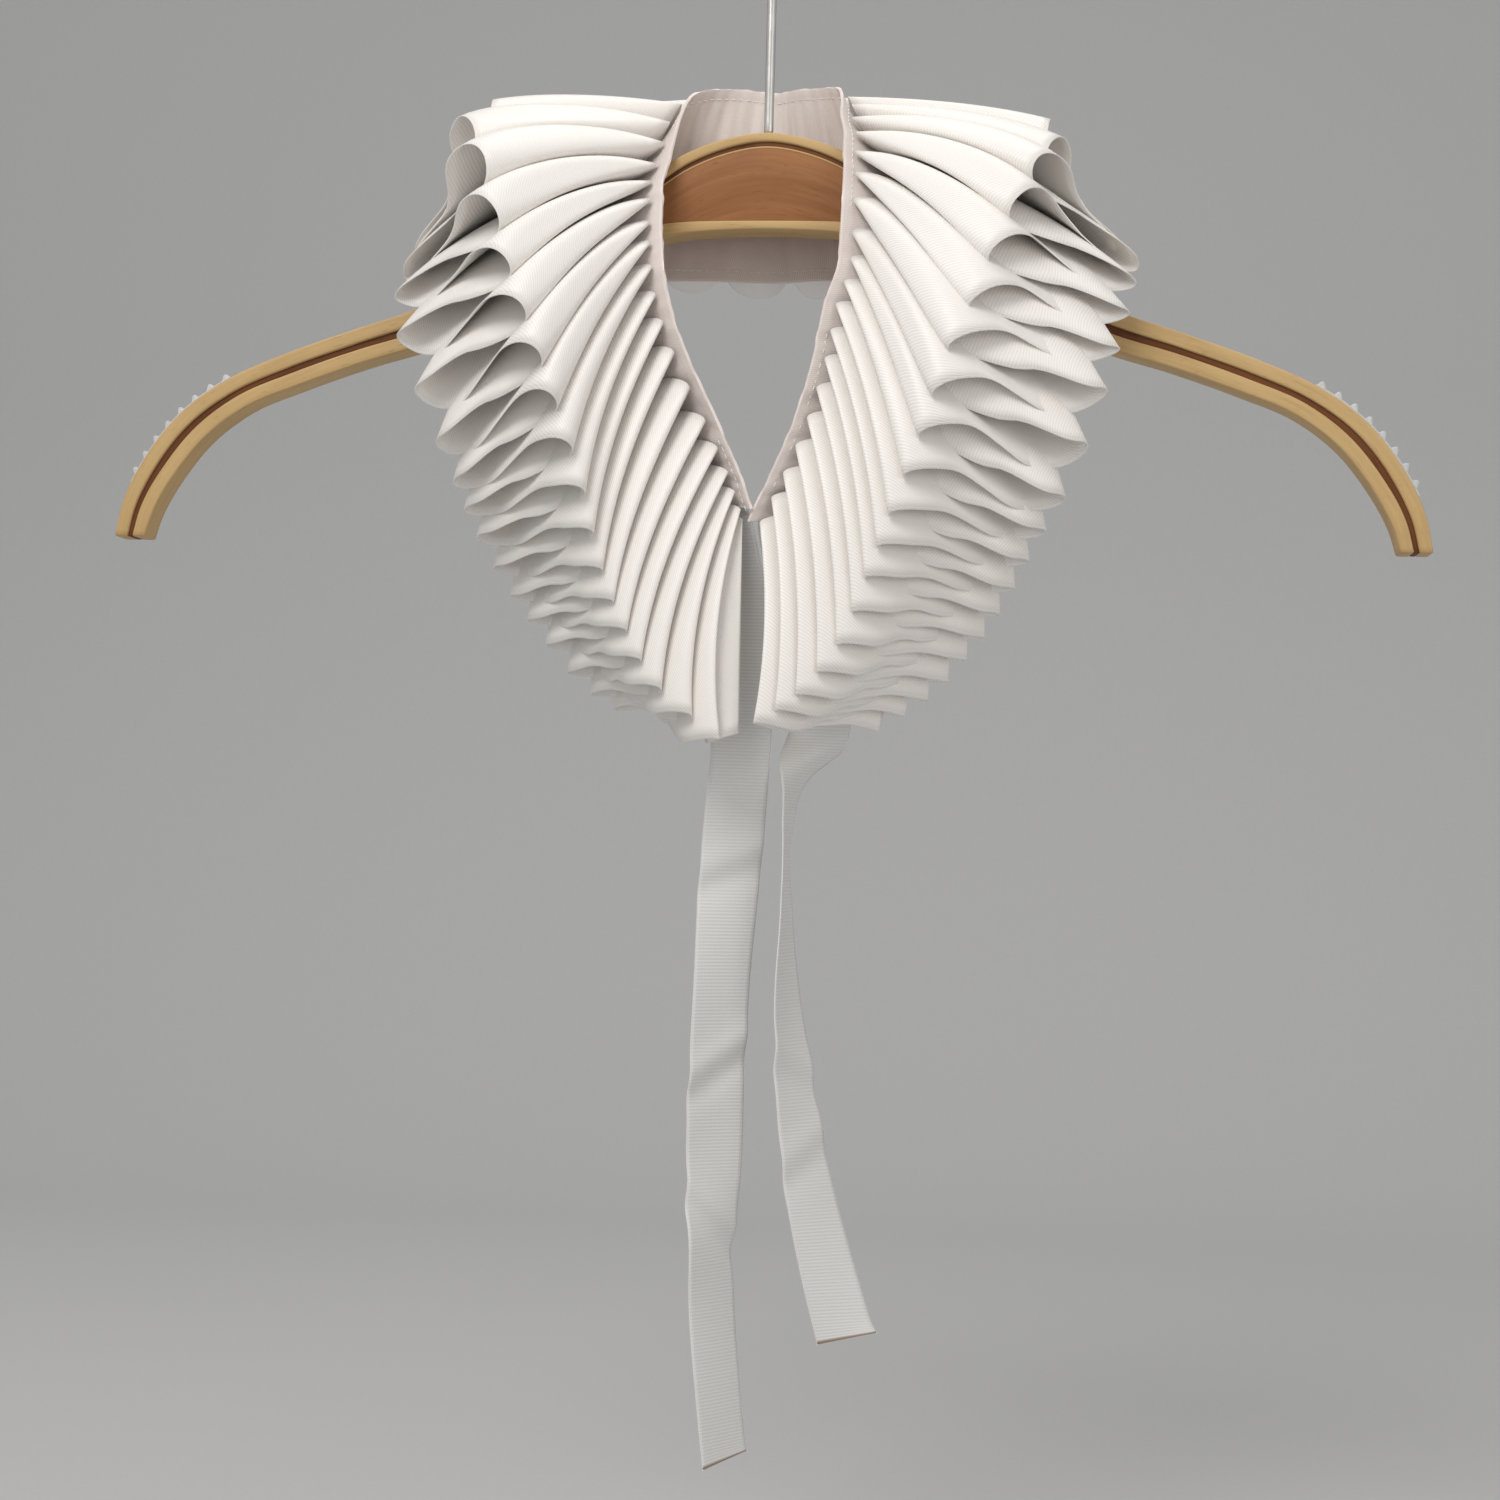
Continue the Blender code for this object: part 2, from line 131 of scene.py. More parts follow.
RIGHT = (
    Row(1, (6, -42, -135), (47, -13, -129), (7, -64, -200), (47, -25, -198)),
    Row(3, (13, -41, -119), (56, -14, -114), (20, -63, -191), (61, -22, -187)),
    Row(5, (20, -39, -101), (63, -12, -97), (32, -61, -175), (73, -21, -173)),
    Row(7, (25, -37, -82), (69.5, -12, -83), (40, -60, -154), (83, -24, -158)),
    Row(9, (28, -34, -64), (74, -13, -68.5), (47, -61, -134), (92, -30, -141)),
    Row(11, (32, -29, -48), (78, -13, -54), (56, -62, -109), (103, -40, -121)),
    Row(12, (32, -25, -38.5), (79.5, -12, -45.5), (60, -63, -96), (109, -45, -104)),
    Row(13, (32, -21, -27), (80.5, -8.5, -36.2), (65, -62, -81), (114, -44, -87)),
    Row(14, (32, -16, -17), (79.5, 0, -29.2), (72, -58, -66), (117, -37, -74)),
    Row(15, (31.5, -12, -9), (77.5, 9, -25), (77.5, -53, -49), (119.5, -26, -61)),
    Row(16, (31, -6, -1), (72.5, 18, -23), (84, -46, -32), (121, -11, -50)),
    Row(17, (29, 2, 6), (65.5, 26, -24.5), (91, -36, -16), (121, 9, -42)),
    Row(18, (28, 9, 12), (56, 29.5, -30), (96, -12, -4), (114, 34, -36)),
    Row(19, (26, 14, 16), (46, 26, -34), (94, 12, 9), (98, 60, -31)),
    Row(20, (21.5, 17.5, 17), (37, 24, -35), (86, 38, 15), (78, 77, -31)),
    Row(21, (16.5, 20, 17), (28, 22, -36), (70, 62, 16), (60, 87, -31)),
    Row(22.5, (8, 22.5, 17), (14, 20.5, -37), (34, 87, 16), (30, 93, -33)),
)
TIE_LEFT = (
    TieRow(-10, -31.5, -120, -48),
    TieRow(-7.1, -31.9, -128.5, -48),
    TieRow(-5, -31, -145, -25),
    TieRow(-1.5, -28.5, -170, 8),
    TieRow(-1, -28, -202, 22),
    TieRow(-3, -28, -240, 17),
    TieRow(-5, -29, -280, 33),
    TieRow(-6.3, -28, -310, 34),
    TieRow(-6.6, -27, -345, 36),
    TieRow(-6.4, -29, -364, 52),
    TieRow(-5.6, -28, -385, 51),
    TieRow(-3, -28, -412, 52),
    TieRow(-0.6, -27, -436, 53),
)
TIE_RIGHT = (
    TieRow(15.9, -32.7, -122, 35),
    TieRow(12.1, -33.2, -133.5, 35),
    TieRow(16, -27, -152, 20),
    TieRow(22, -15, -180, 4),
    TieRow(22, -14, -204, 6),
    TieRow(17, -18, -214, 62),
    TieRow(14.6, -24, -232, 86),
    TieRow(14.4, -25, -260, 84),
    TieRow(15.2, -25, -285, 72),
    TieRow(18.6, -25, -312, 58),
    TieRow(24.8, -25, -348, 44),
    TieRow(31.5, -25, -375, 32),
    TieRow(37.5, -25, -396, 24),
)
CREASES_LEFT = (Crease(-245, 0.43, 0.8), Crease(-309, 0.63, 0.8), Crease(-357, -0.79, 1.0))
CREASES_RIGHT = (Crease(-309, -0.35, 0.6), Crease(-337, 0.5, 0.5))


class Side(Enum):
    """Side of the collar as the viewer sees it."""

    LEFT = -1
    RIGHT = 1


@dataclass(frozen=True)
class Term:
    """One node socket that can stand in a Python sum."""

    graph: "Graph"
    socket: bpy.types.NodeSocket

    def __add__(self, other: "Number") -> "Term":
        """Sum of two values."""
        return self.graph.maths("ADD", self, other)

    def __sub__(self, other: "Number") -> "Term":
        """Difference of two values."""
        return self.graph.maths("SUBTRACT", self, other)

    def __rsub__(self, other: "Number") -> "Term":
        """Difference with the plain value first."""
        return self.graph.maths("SUBTRACT", other, self)

    def __mul__(self, other: "Number") -> "Term":
        """Product of two values."""
        return self.graph.maths("MULTIPLY", self, other)

    def __truediv__(self, other: "Number") -> "Term":
        """Quotient of two values."""
        return self.graph.maths("DIVIDE", self, other)

    def __pow__(self, other: "Number") -> "Term":
        """A value raised to a power."""
        return self.graph.maths("POWER", self, other)

    __radd__ = __add__
    __rmul__ = __mul__

    def mixed(self, other: "Term", share: "Number") -> "Term":
        """This value turned into the other by the given share."""
        return self + (other - self) * share


Number = Term | float | int | Triple


class Graph:
    """A node tree that is filled by short calls."""

    def __init__(self, tree: bpy.types.NodeTree) -> None:
        """Keeps the tree."""
        self.tree = tree

    def node(self, kind: str, sockets: dict | None = None, **settings: object) -> bpy.types.Node:
        """Adds one node.

        Args:
            kind: The node's type.
            sockets: Values or terms of its inputs, by name or number.
            **settings: Its own settings.

        Returns:
            The node.
        """
        node = self.tree.nodes.new(kind)
        for name, value in settings.items():
            setattr(node, name, value)
        for name, value in (sockets or {}).items():
            self.plug(node.inputs[name], value)
        return node

    def get(self, kind: str, sockets: dict | None = None, output: int | str = 0, **settings: object) -> Term:
        """Adds one node and returns its first output, or the one that is asked for."""
        return Term(self, self.node(kind, sockets, **settings).outputs[output])

    def plug(self, socket: bpy.types.NodeSocket, value: object) -> None:
        """Links a term to an input, or sets its plain value.

        Args:
            socket: The input.
            value: The term or the plain value; a colour has three parts.
        """
        if isinstance(value, Term):
            self.tree.links.new(value.socket, socket)
        elif socket.type == "RGBA" and len(value) == 3:
            socket.default_value = (*value, 1.0)
        else:
            socket.default_value = value

    def maths(self, operation: str, *values: Number) -> Term:
        """Adds the node of one sum.

        Args:
            operation: The sum's name.
            values: Terms, numbers or triples; a triple or a vector term makes it a sum of vectors.

        Returns:
            The result.
        """
        is_vector = any(
            value.socket.type == "VECTOR" if isinstance(value, Term) else isinstance(value, tuple)
            for value in values
        )
        if is_vector:
            values = tuple((v, v, v) if isinstance(v, (int, float)) else v for v in values)
        kind, output = ("ShaderNodeVectorMath", "Vector") if is_vector else ("ShaderNodeMath", "Value")
        return self.get(kind, dict(enumerate(values)), output, operation=operation)

    def parts(self, vector: Term) -> tuple[Term, Term, Term]:
        """The three parts of a vector."""
        node = self.node("ShaderNodeSeparateXYZ", {0: vector})
        return tuple(Term(self, output) for output in node.outputs)

    def joined(self, x: Number, y: Number, z: Number) -> Term:
        """A vector of three values."""
        return self.get("ShaderNodeCombineXYZ", {0: x, 1: y, 2: z})

    def wave(self, value: Term, period: float) -> Term:
        """A sine from 0 to 1 with this period."""
        return self.maths("SINE", value * (2 * math.pi / period)) * 0.5 + 0.5

    def ramp(self, value: Term, low: float, high: float) -> Term:
        """0 below the low value and 1 above the high one, smooth between them."""
        sockets = {0: value, 1: low, 2: high, 3: 0.0, 4: 1.0}
        return self.get("ShaderNodeMapRange", sockets, interpolation_type="SMOOTHSTEP")

    def noise(self, vector: Term, scale: float, detail: float = 2.0, rough: float = 0.5) -> Term:
        """Cloudy noise from 0 to 1."""
        sockets = {"Vector": vector, "Scale": scale, "Detail": detail, "Roughness": rough}
        return self.get("ShaderNodeTexNoise", sockets)


class Finish:
    """A procedural material: subclasses say what changes over the surface."""

    name = "finish"
    roughness = 0.5
    metallic = 0.0
    fixed: dict = {}
    made: bpy.types.Material | None = None

    def material(self) -> bpy.types.Material:
        """Builds the material once and returns it after that.

        Returns:
            The material, the same one at each call.
        """
        if self.made:
            return self.made
        self.made = made = bpy.data.materials.new(self.name)
        made.use_nodes = True
        graph = Graph(made.node_tree)
        self.shader = made.node_tree.nodes["Principled BSDF"]
        self.shader.inputs["Roughness"].default_value = self.roughness
        self.shader.inputs["Metallic"].default_value = self.metallic
        for socket, value in self.fixed.items():
            graph.plug(self.shader.inputs[socket], value)
        self.paint(graph)
        return made

    def paint(self, graph: Graph) -> None:
        """Adds what changes over the surface."""

    def place(self, graph: Graph, name: str = "") -> Term:
        """Where a point lies: the named attribute, or the object's own coordinates.

        Args:
            graph: The material's tree.
            name: The attribute, or nothing for the object's coordinates.

        Returns:
            The place as a vector.
        """
        if name:
            return graph.get("ShaderNodeAttribute", None, "Vector", attribute_name=name)
        return graph.get("ShaderNodeTexCoord", None, "Object")

    def colour(self, graph: Graph, share: Term, first: Triple | Term, second: Triple) -> Term:
        """A colour between two by the given share."""
        return graph.get("ShaderNodeMix", {0: share, 6: first, 7: second}, 2, data_type="RGBA")

    def set(self, graph: Graph, socket: str, value: Term) -> None:
        """Feeds one input of the shader."""
        graph.plug(self.shader.inputs[socket], value)

    def bump(self, graph: Graph, height: Term, strength: float, depth: float) -> None:
        """Feeds the shader's normal from a height from 0 to 1 over this depth in metres."""
        sockets = {"Strength": strength, "Distance": depth, "Height": height}
        self.set(graph, "Normal", graph.get("ShaderNodeBump", sockets))


@dataclass(frozen=True)
class Weave:
    """Sizes and colours of a woven cloth, in metres."""

    light: Triple
    dark: Triple
    rib: float
    rib_slant: float
    rib_depth: float
    slub: float
    # Width of the edge that the bump raises and that is lightened as a painted highlight.
    edge_width: float


class Cloth(Finish):
    """A woven ribbed cloth that is read along its own threads."""

    def __init__(self, name: str, weave: Weave, roughness: float, sheen: float) -> None:
        """Keeps the weave.

        Args:
            name: The material's name.
            weave: The cloth's sizes and colours.
            roughness: How dull it is, from 0 to 1.
            sheen: How much its fibres catch the light.
        """
        self.name = name
        self.weave = weave
        self.roughness = roughness
        self.fixed = {
            "Sheen Weight": sheen,
            "Sheen Roughness": 0.35,
            "Specular IOR Level": 0.4,
        }

    def paint(self, graph: Graph) -> None:
        """Ribs, slubs, a soft cloudy tone, and a raised edge whose colour is lightened as a painted
        highlight.

        Args:
            graph: The material's tree.
        """
        weave = self.weave
        along, across, to_edge = graph.parts(self.place(graph, "threads"))
        rib = graph.wave(along + across * weave.rib_slant, weave.rib)
        crossing = graph.wave(across - along * weave.rib_slant, weave.rib * 0.8)
        slub = graph.noise(graph.joined(along * 0.25, across, 0.0), weave.slub, 3.0)
        cloud = graph.noise(self.place(graph), 38.0, 2.0)
        # Painted highlight: within edge_width of the edge the colour is lightened, standing in for light
        # caught along the edge; the same mask also raises the bump.
        edge = 1 - graph.ramp(to_edge, weave.edge_width * 0.6, weave.edge_width)
        tone = cloud * 0.25 + slub * 0.15 + rib * 0.6
        tone = graph.maths("MINIMUM", tone + edge * 0.5, 1.0)
        self.set(graph, "Base Color", self.colour(graph, tone, weave.dark, weave.light))
        self.set(graph, "Roughness", self.roughness - 0.08 + (1 - slub) * 0.16)
        height = rib * 0.62 + crossing * 0.18 + slub * 0.2 + edge * 0.6
        self.bump(graph, height, 0.8, weave.rib_depth)


class CutRibbon(Cloth):
    """The tie's ribbon, with fine cross ribs and a browned end where the cut was sealed by heat."""

    brown: Triple = (0.30, 0.16, 0.07)
    browned: Pair = (0.6 * MM, 1.5 * MM)

    def paint(self, graph: Graph) -> None:
        """The woven cloth, then the browned end.

        Args:
            graph: The material's tree.
        """
        super().paint(graph)
        cloth = Term(graph, self.shader.inputs["Base Color"].links[0].from_socket)
        distance, _, _ = graph.parts(self.place(graph, "cut_end"))
        burnt = 1 - graph.ramp(distance, *self.browned)
        self.set(graph, "Base Color", self.colour(graph, burnt * 0.8, cloth, self.brown))


class Thread(Finish):
    """Twisted sewing thread."""

    name = "sewing_thread"
    roughness = 0.45
    fixed = {"Sheen Weight": 0.15}

    def paint(self, graph: Graph) -> None:
        """Fine twist and a little change of tone.

        Args:
            graph: The material's tree.
        """
        x, y, z = graph.parts(self.place(graph))
        twist = graph.wave(x + y + z, 0.28 * MM)
        tone = graph.noise(self.place(graph), 420.0)
        self.set(graph, "Base Color", self.colour(graph, tone, (0.86, 0.84, 0.81), (0.97, 0.96, 0.94)))
        self.bump(graph, twist, 0.4, 0.06 * MM)


class Wood(Finish):
    """Plywood with grain along the bend."""

    def __init__(self, name: str, light: Triple, dark: Triple, fleck: Triple, roughness: float) -> None:
        """Keeps the tones.

        Args:
            name: The material's name.
            light: Colour of the wide grain.
            dark: Colour of the fine grain.
            fleck: Colour of the pores.
            roughness: How dull it is, from 0 to 1.
        """
        self.name = name
        self.light = light
        self.dark = dark
        self.fleck = fleck
        self.roughness = roughness
        self.fixed = {"Specular IOR Level": 0.25}

    def paint(self, graph: Graph) -> None:
        """Long grain, fine pores and a few darker flecks.

        Args:
            graph: The material's tree.
        """
        along, deep, through = graph.parts(self.place(graph, "grain"))
        drawn = graph.joined(along * 0.06, deep, through)
        grain = graph.noise(drawn, 520.0, 5.0, 0.6)
        bands = graph.noise(graph.joined(along * 0.10, deep * 0.6, through * 0.6), 150.0, 3.0)
        pores = graph.noise(graph.joined(along * 0.12, deep, through), 1700.0, 2.0)
        tone = graph.ramp(grain * 0.55 + bands * 0.45, 0.34, 0.66)
        base = self.colour(graph, tone, self.dark, self.light)
        fleck = graph.ramp(pores, 0.62, 0.76) * 0.5
        self.set(graph, "Base Color", self.colour(graph, fleck, base, self.fleck))
        self.set(graph, "Roughness", self.roughness + (grain - 0.5) * 0.2 + fleck * 0.2)
        self.bump(graph, 1 - fleck - grain * 0.3, 0.35, 0.12 * MM)


class Nickel(Finish):
    """Brushed nickel wire with fine scratches along it."""

    name = "nickel_wire"
    roughness = 0.3
    metallic = 1.0

    def paint(self, graph: Graph) -> None:
        """Scratches, and a slightly duller tone in patches.

        Args:
            graph: The material's tree.
        """
        along, around, _ = graph.parts(self.place(graph, "grain"))
        brushed = graph.noise(graph.joined(along * 0.04, around, 0.0), 3800.0, 2.0)
        patch = graph.noise(self.place(graph), 90.0, 3.0)
        self.set(graph, "Base Color", self.colour(graph, patch, (0.50, 0.49, 0.47), (0.74, 0.73, 0.71)))
        self.set(graph, "Roughness", 0.22 + brushed * 0.16 + patch * 0.08)
        self.bump(graph, brushed, 0.3, 0.02 * MM)


class ClearPlastic(Finish):
    """Clear moulded plastic with faint flow marks."""

    name = "clear_grip"
    roughness = 0.18
    fixed = {"Alpha": 0.42, "IOR": 1.46}

    def paint(self, graph: Graph) -> None:
        """Faint flow marks and a slight milkiness.

        Args:
            graph: The material's tree.
        """
        flow = graph.noise(self.place(graph), 240.0, 3.0)
        self.set(graph, "Base Color", self.colour(graph, flow, (0.80, 0.82, 0.84), (0.93, 0.94, 0.95)))
        self.set(graph, "Roughness", 0.12 + flow * 0.16)
        self.bump(graph, flow, 0.2, 0.08 * MM)


class Backdrop(Finish):
    """Plain pale studio paper."""

    name = "studio_paper"
    roughness = 0.9

    def paint(self, graph: Graph) -> None:
        """A very slight paper tooth."""
        tooth = graph.noise(self.place(graph), 300.0)
        self.set(graph, "Base Color", self.colour(graph, tooth, (0.50, 0.50, 0.505), (0.53, 0.53, 0.535)))


TAFFETA = Cloth(
    "woven_taffeta",
    Weave((0.96, 0.93, 0.89), (0.80, 0.765, 0.725), 1.1 * MM, 0.9, 0.08 * MM, 900.0, 0.9 * MM),
    0.38,
    0.2,
)
SATIN = Cloth(
    "folded_satin",
    Weave((0.82, 0.74, 0.70), (0.63, 0.56, 0.525), 0.6 * MM, 0.15, 0.05 * MM, 120.0, 0.9 * MM),
    0.28,
    0.1,
)
RIBBON = CutRibbon(
    "cross_ribbed_ribbon",
    Weave((0.77, 0.765, 0.75), (0.63, 0.62, 0.605), 1.1 * MM, 0.0, 0.07 * MM, 800.0, 0.8 * MM),
    0.36,
    0.1,
)
THREAD = Thread()
BIRCH = Wood("lacquered_birch", (0.60, 0.41, 0.19), (0.50, 0.325, 0.14), (0.34, 0.20, 0.075), 0.5)
BROWN = Wood("brown_core", (0.17, 0.060, 0.018), (0.10, 0.033, 0.010), (0.04, 0.014, 0.005), 0.65)
PANEL = Wood("brown_panel", (0.37, 0.165, 0.066), (0.28, 0.115, 0.042), (0.16, 0.060, 0.020), 0.6)
NICKEL = Nickel()
CLEAR = ClearPlastic()
PAPER = Backdrop()


def unit(vectors: np.ndarray) -> np.ndarray:
    """Vectors scaled to length one."""
    return vectors / np.linalg.norm(vectors, axis=-1, keepdims=True)


def smooth_curve(knots: Sequence[float], values: Sequence, at: Sequence[float]) -> np.ndarray:
    """Reads a cubic curve with central tangents.

    Args:
        knots: Places of the values.
        values: One row for each knot.
        at: Places to read.

    Returns:
        One row for each place, going straight on past the ends.
    """
    knots = np.asarray(knots, float)
    values = np.asarray(values, float)
    slopes = np.gradient(values, knots, axis=0)
    at = np.asarray(at, float)
    low = np.clip(np.searchsorted(knots, at) - 1, 0, len(knots) - 2)
    span = (knots[low + 1] - knots[low])[:, None]
    t = (at - knots[low])[:, None] / span
    inside = (
        (2 * t**3 - 3 * t**2 + 1) * values[low]
        + (t**3 - 2 * t**2 + t) * span * slopes[low]
        + (3 * t**2 - 2 * t**3) * values[low + 1]
        + (t**3 - t**2) * span * slopes[low + 1]
    )
    before = values[0] + (at - knots[0])[:, None] * slopes[0]
    after = values[-1] + (at - knots[-1])[:, None] * slopes[-1]
    inside = np.where(at[:, None] < knots[0], before, inside)
    return np.where(at[:, None] > knots[-1], after, inside)


def grid_faces(rings: int, across: int, closed: bool = False) -> list[tuple[int, ...]]:
    """Quads between rings of points.

    Args:
        rings: How many rings.
        across: Points in each.
        closed: Whether a ring joins its own end.

    Returns:
        The faces.
    """
    faces = []
    for ring in range(rings - 1):
        for i in range(across if closed else across - 1):
            first = ring * across + i
            following = ring * across + (i + 1) % across
            faces.append((first, following, following + across, first + across))
    return faces


def tube_faces(rings: int, around: int) -> list[tuple[int, ...]]:
    """Quads between closed rings of points, and one face over each end.

    Args:
        rings: How many rings.
        around: Points in each.

    Returns:
        The faces.
    """
    last = (rings - 1) * around
    ends = [tuple(range(around - 1, -1, -1)), tuple(range(last, last + around))]
    return grid_faces(rings, around, closed=True) + ends


def travelled(points: np.ndarray, axis: int = 0) -> np.ndarray:
    """Distance from the first point along lines that run down this axis.

    Args:
        points: The lines' points.
        axis: The axis that the lines run down.

    Returns:
        One distance for each point.
    """
    steps = np.linalg.norm(np.diff(points, axis=axis), axis=-1)
    start = np.zeros_like(steps.take([0], axis))
    return np.concatenate([start, np.cumsum(steps, axis=axis)], axis=axis)


def added(name: str, data: bpy.types.ID) -> bpy.types.Object:
    """A new object in the scene.

    Args:
        name: The object's name.
        data: Its mesh, light or camera.

    Returns:
        The object.
    """
    thing = bpy.data.objects.new(name, data)
    bpy.context.scene.collection.objects.link(thing)
    return thing


def note(mesh: bpy.types.Mesh, name: str, values: np.ndarray) -> None:
    """Keeps one vector for each point of the mesh under a name."""
    stored = mesh.attributes.new(name, "FLOAT_VECTOR", "POINT")
    stored.data.foreach_set("vector", np.asarray(values, np.float32).ravel())


def points_of(mesh: bpy.types.Mesh) -> np.ndarray:
    """The points of a mesh as rows.

    Args:
        mesh: The mesh.

    Returns:
        One row for each point.
    """
    points = np.zeros(len(mesh.vertices) * 3)
    mesh.vertices.foreach_get("co", points)
    return points.reshape(-1, 3)


def mesh_of(name: str, points: np.ndarray, faces: Sequence = ()) -> bpy.types.Mesh:
    """A smooth-shaded mesh of points and faces.

    Args:
        name: The mesh's name.
        points: Its points, in any grid.
        faces: Its faces as numbers of points.

    Returns:
        The mesh.
    """
    mesh = bpy.data.meshes.new(name)
    mesh.from_pydata(np.reshape(points, (-1, 3)).tolist(), [], list(faces))
    mesh.update()
    mesh.shade_smooth()
    return mesh


def shown(name: str, mesh: bpy.types.Mesh, finish: Finish, slot: str) -> bpy.types.Object:
    """Puts a mesh in the scene as a piece of the object.

    Args:
        name: The piece's name.
        mesh: Its mesh.
        finish: Its material.
        slot: The record's material slot; not used.

    Returns:
        The piece, riding on the object's one body.
    """
    if not mesh.materials:
        mesh.materials.append(finish.material())
    piece = added(name, mesh)
    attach(piece, "root")
    log.info("%s: %d faces", name, len(mesh.polygons))
    return piece


def thicken(piece: bpy.types.Object, wall: float) -> bpy.types.Modifier:
    """Gives a sheet its wall, half to each side.

    Args:
        piece: The sheet.
        wall: Its thickness.

    Returns:
        The modifier that adds the wall.
    """
    solidify = piece.modifiers.new("wall", "SOLIDIFY")
    solidify.thickness = wall
    solidify.offset = 0.0
    return solidify


def cloth_size(mesh: bpy.types.Mesh, rows: np.ndarray) -> Pair:
    """Flat size of a sheet before its wall is added.

    Args:
        mesh: The sheet.
        rows: Its points as length by width.

    Returns:
        The mean width, and the length that gives the sheet's area.
    """
    area = sum(face.area for face in mesh.polygons)
    width = float(travelled(rows, 1)[:, -1].mean())
    return round(width, 4), round(area / width, 4)


class Recipe:
    """A Geometry Nodes tree with named inputs."""

    kinds = {
        float: "Float",
        int: "Int",
        tuple: "Vector",
        bpy.types.Material: "Material",
        bpy.types.Object: "Object",
    }

    def __init__(self, name: str, inputs: dict[str, object]) -> None:
        """Starts the tree.

        Args:
            name: The tree's name.
            inputs: Each input's name and value.
        """
        self.tree = bpy.data.node_groups.new(name, "GeometryNodeTree")
        self.graph = Graph(self.tree)
        self.values = {}
        for way in ("INPUT", "OUTPUT"):
            self.socket("Geometry", "Geometry", way)
        for label, value in inputs.items():
            self.values[self.socket(label, self.kinds[type(value)], "INPUT")] = value
        self.source = self.graph.node("NodeGroupInput")

    def socket(self, label: str, kind: str, way: str) -> str:
        """Adds one input or output of the tree and returns its identifier."""
        made = self.tree.interface.new_socket(name=label, in_out=way, socket_type="NodeSocket" + kind)
        return made.identifier

    def given(self, label: str) -> Term:
        """One of the tree's inputs."""
        return Term(self.graph, self.source.outputs[label])

    def named(self, name: str) -> Term:
        """A vector that the guide mesh carries."""
        return self.graph.get("GeometryNodeInputNamedAttribute", {"Name": name}, data_type="FLOAT_VECTOR")

    def finish(self, geometry: Term) -> None:
        """Ends the tree: real geometry, smooth, with its material.

        Args:
            geometry: What the tree has made.
        """
        real = self.graph.get("GeometryNodeRealizeInstances", {0: geometry})
        smooth = self.graph.get("GeometryNodeSetShadeSmooth", {"Geometry": real})
        sockets = {"Geometry": smooth, "Material": self.given("Material")}
        self.graph.node("NodeGroupOutput", {0: self.graph.get("GeometryNodeSetMaterial", sockets)})

    def finish_copies(self, points: Term, piece: Term, turn: Term, size: str) -> None:
        """Ends the tree with a copy of the piece at each point, in the size that this input gives."""
        sockets = {"Points": points, "Instance": piece, "Rotation": turn, "Scale": self.given(size)}
        self.finish(self.graph.get("GeometryNodeInstanceOnPoints", sockets))

    def mesh(self, guide: bpy.types.Mesh) -> bpy.types.Mesh:
        """Runs the tree on a guide mesh.

        Args:
            guide: The mesh that the tree reads.

        Returns:
            The result as a plain mesh.
        """
        holder = added(self.tree.name, guide)
        modifier = holder.modifiers.new("recipe", "NODES")
        modifier.node_group = self.tree
        for identifier, value in self.values.items():
            modifier[identifier] = value
        depsgraph = bpy.context.evaluated_depsgraph_get()
        result = bpy.data.meshes.new_from_object(holder.evaluated_get(depsgraph), depsgraph=depsgraph)
        holder.modifiers.remove(modifier)
        bpy.data.objects.remove(holder)
        if result.materials and result.materials[0] is None:
            result.materials.pop(index=0)
        return result


@dataclass
class CollarLines:
    """The four guide lines of the ruffle, read at any place counted in sets round the neck."""

    sets: int = 47

    def __post_init__(self) -> None:
        """Joins the left and the right rows into lines round the neck."""
        self.rows = list(LEFT) + [row._replace(set=self.sets - row.set) for row in reversed(RIGHT)]
        self.places = [row.set for row in self.rows]

    def line(self, name: str, sets: np.ndarray) -> np.ndarray:
        """Points of one guide line."""
        values = np.array([getattr(row, name) for row in self.rows]) * MM + BOW_TOP
        return smooth_curve(self.places, values, sets)

    def outward(self, name: str, sets: np.ndarray, step: float = 0.1) -> np.ndarray:
        """Outward direction of the band at its edge or hem, longer where the line runs faster."""
        ahead = self.line(name, sets + step) - self.line(name, sets - step)
        return np.cross(ahead, self.line("hem", sets) - self.line("edge", sets))


class Length(NamedTuple):
    """One length of the ruffle: its places in sets, its end panel, and the places that it keeps to."""

    name: str
    node: str
    first: float
    last: float
    panel: float = 0.0
    lowest: float = -1.0
    highest: float = 48.0


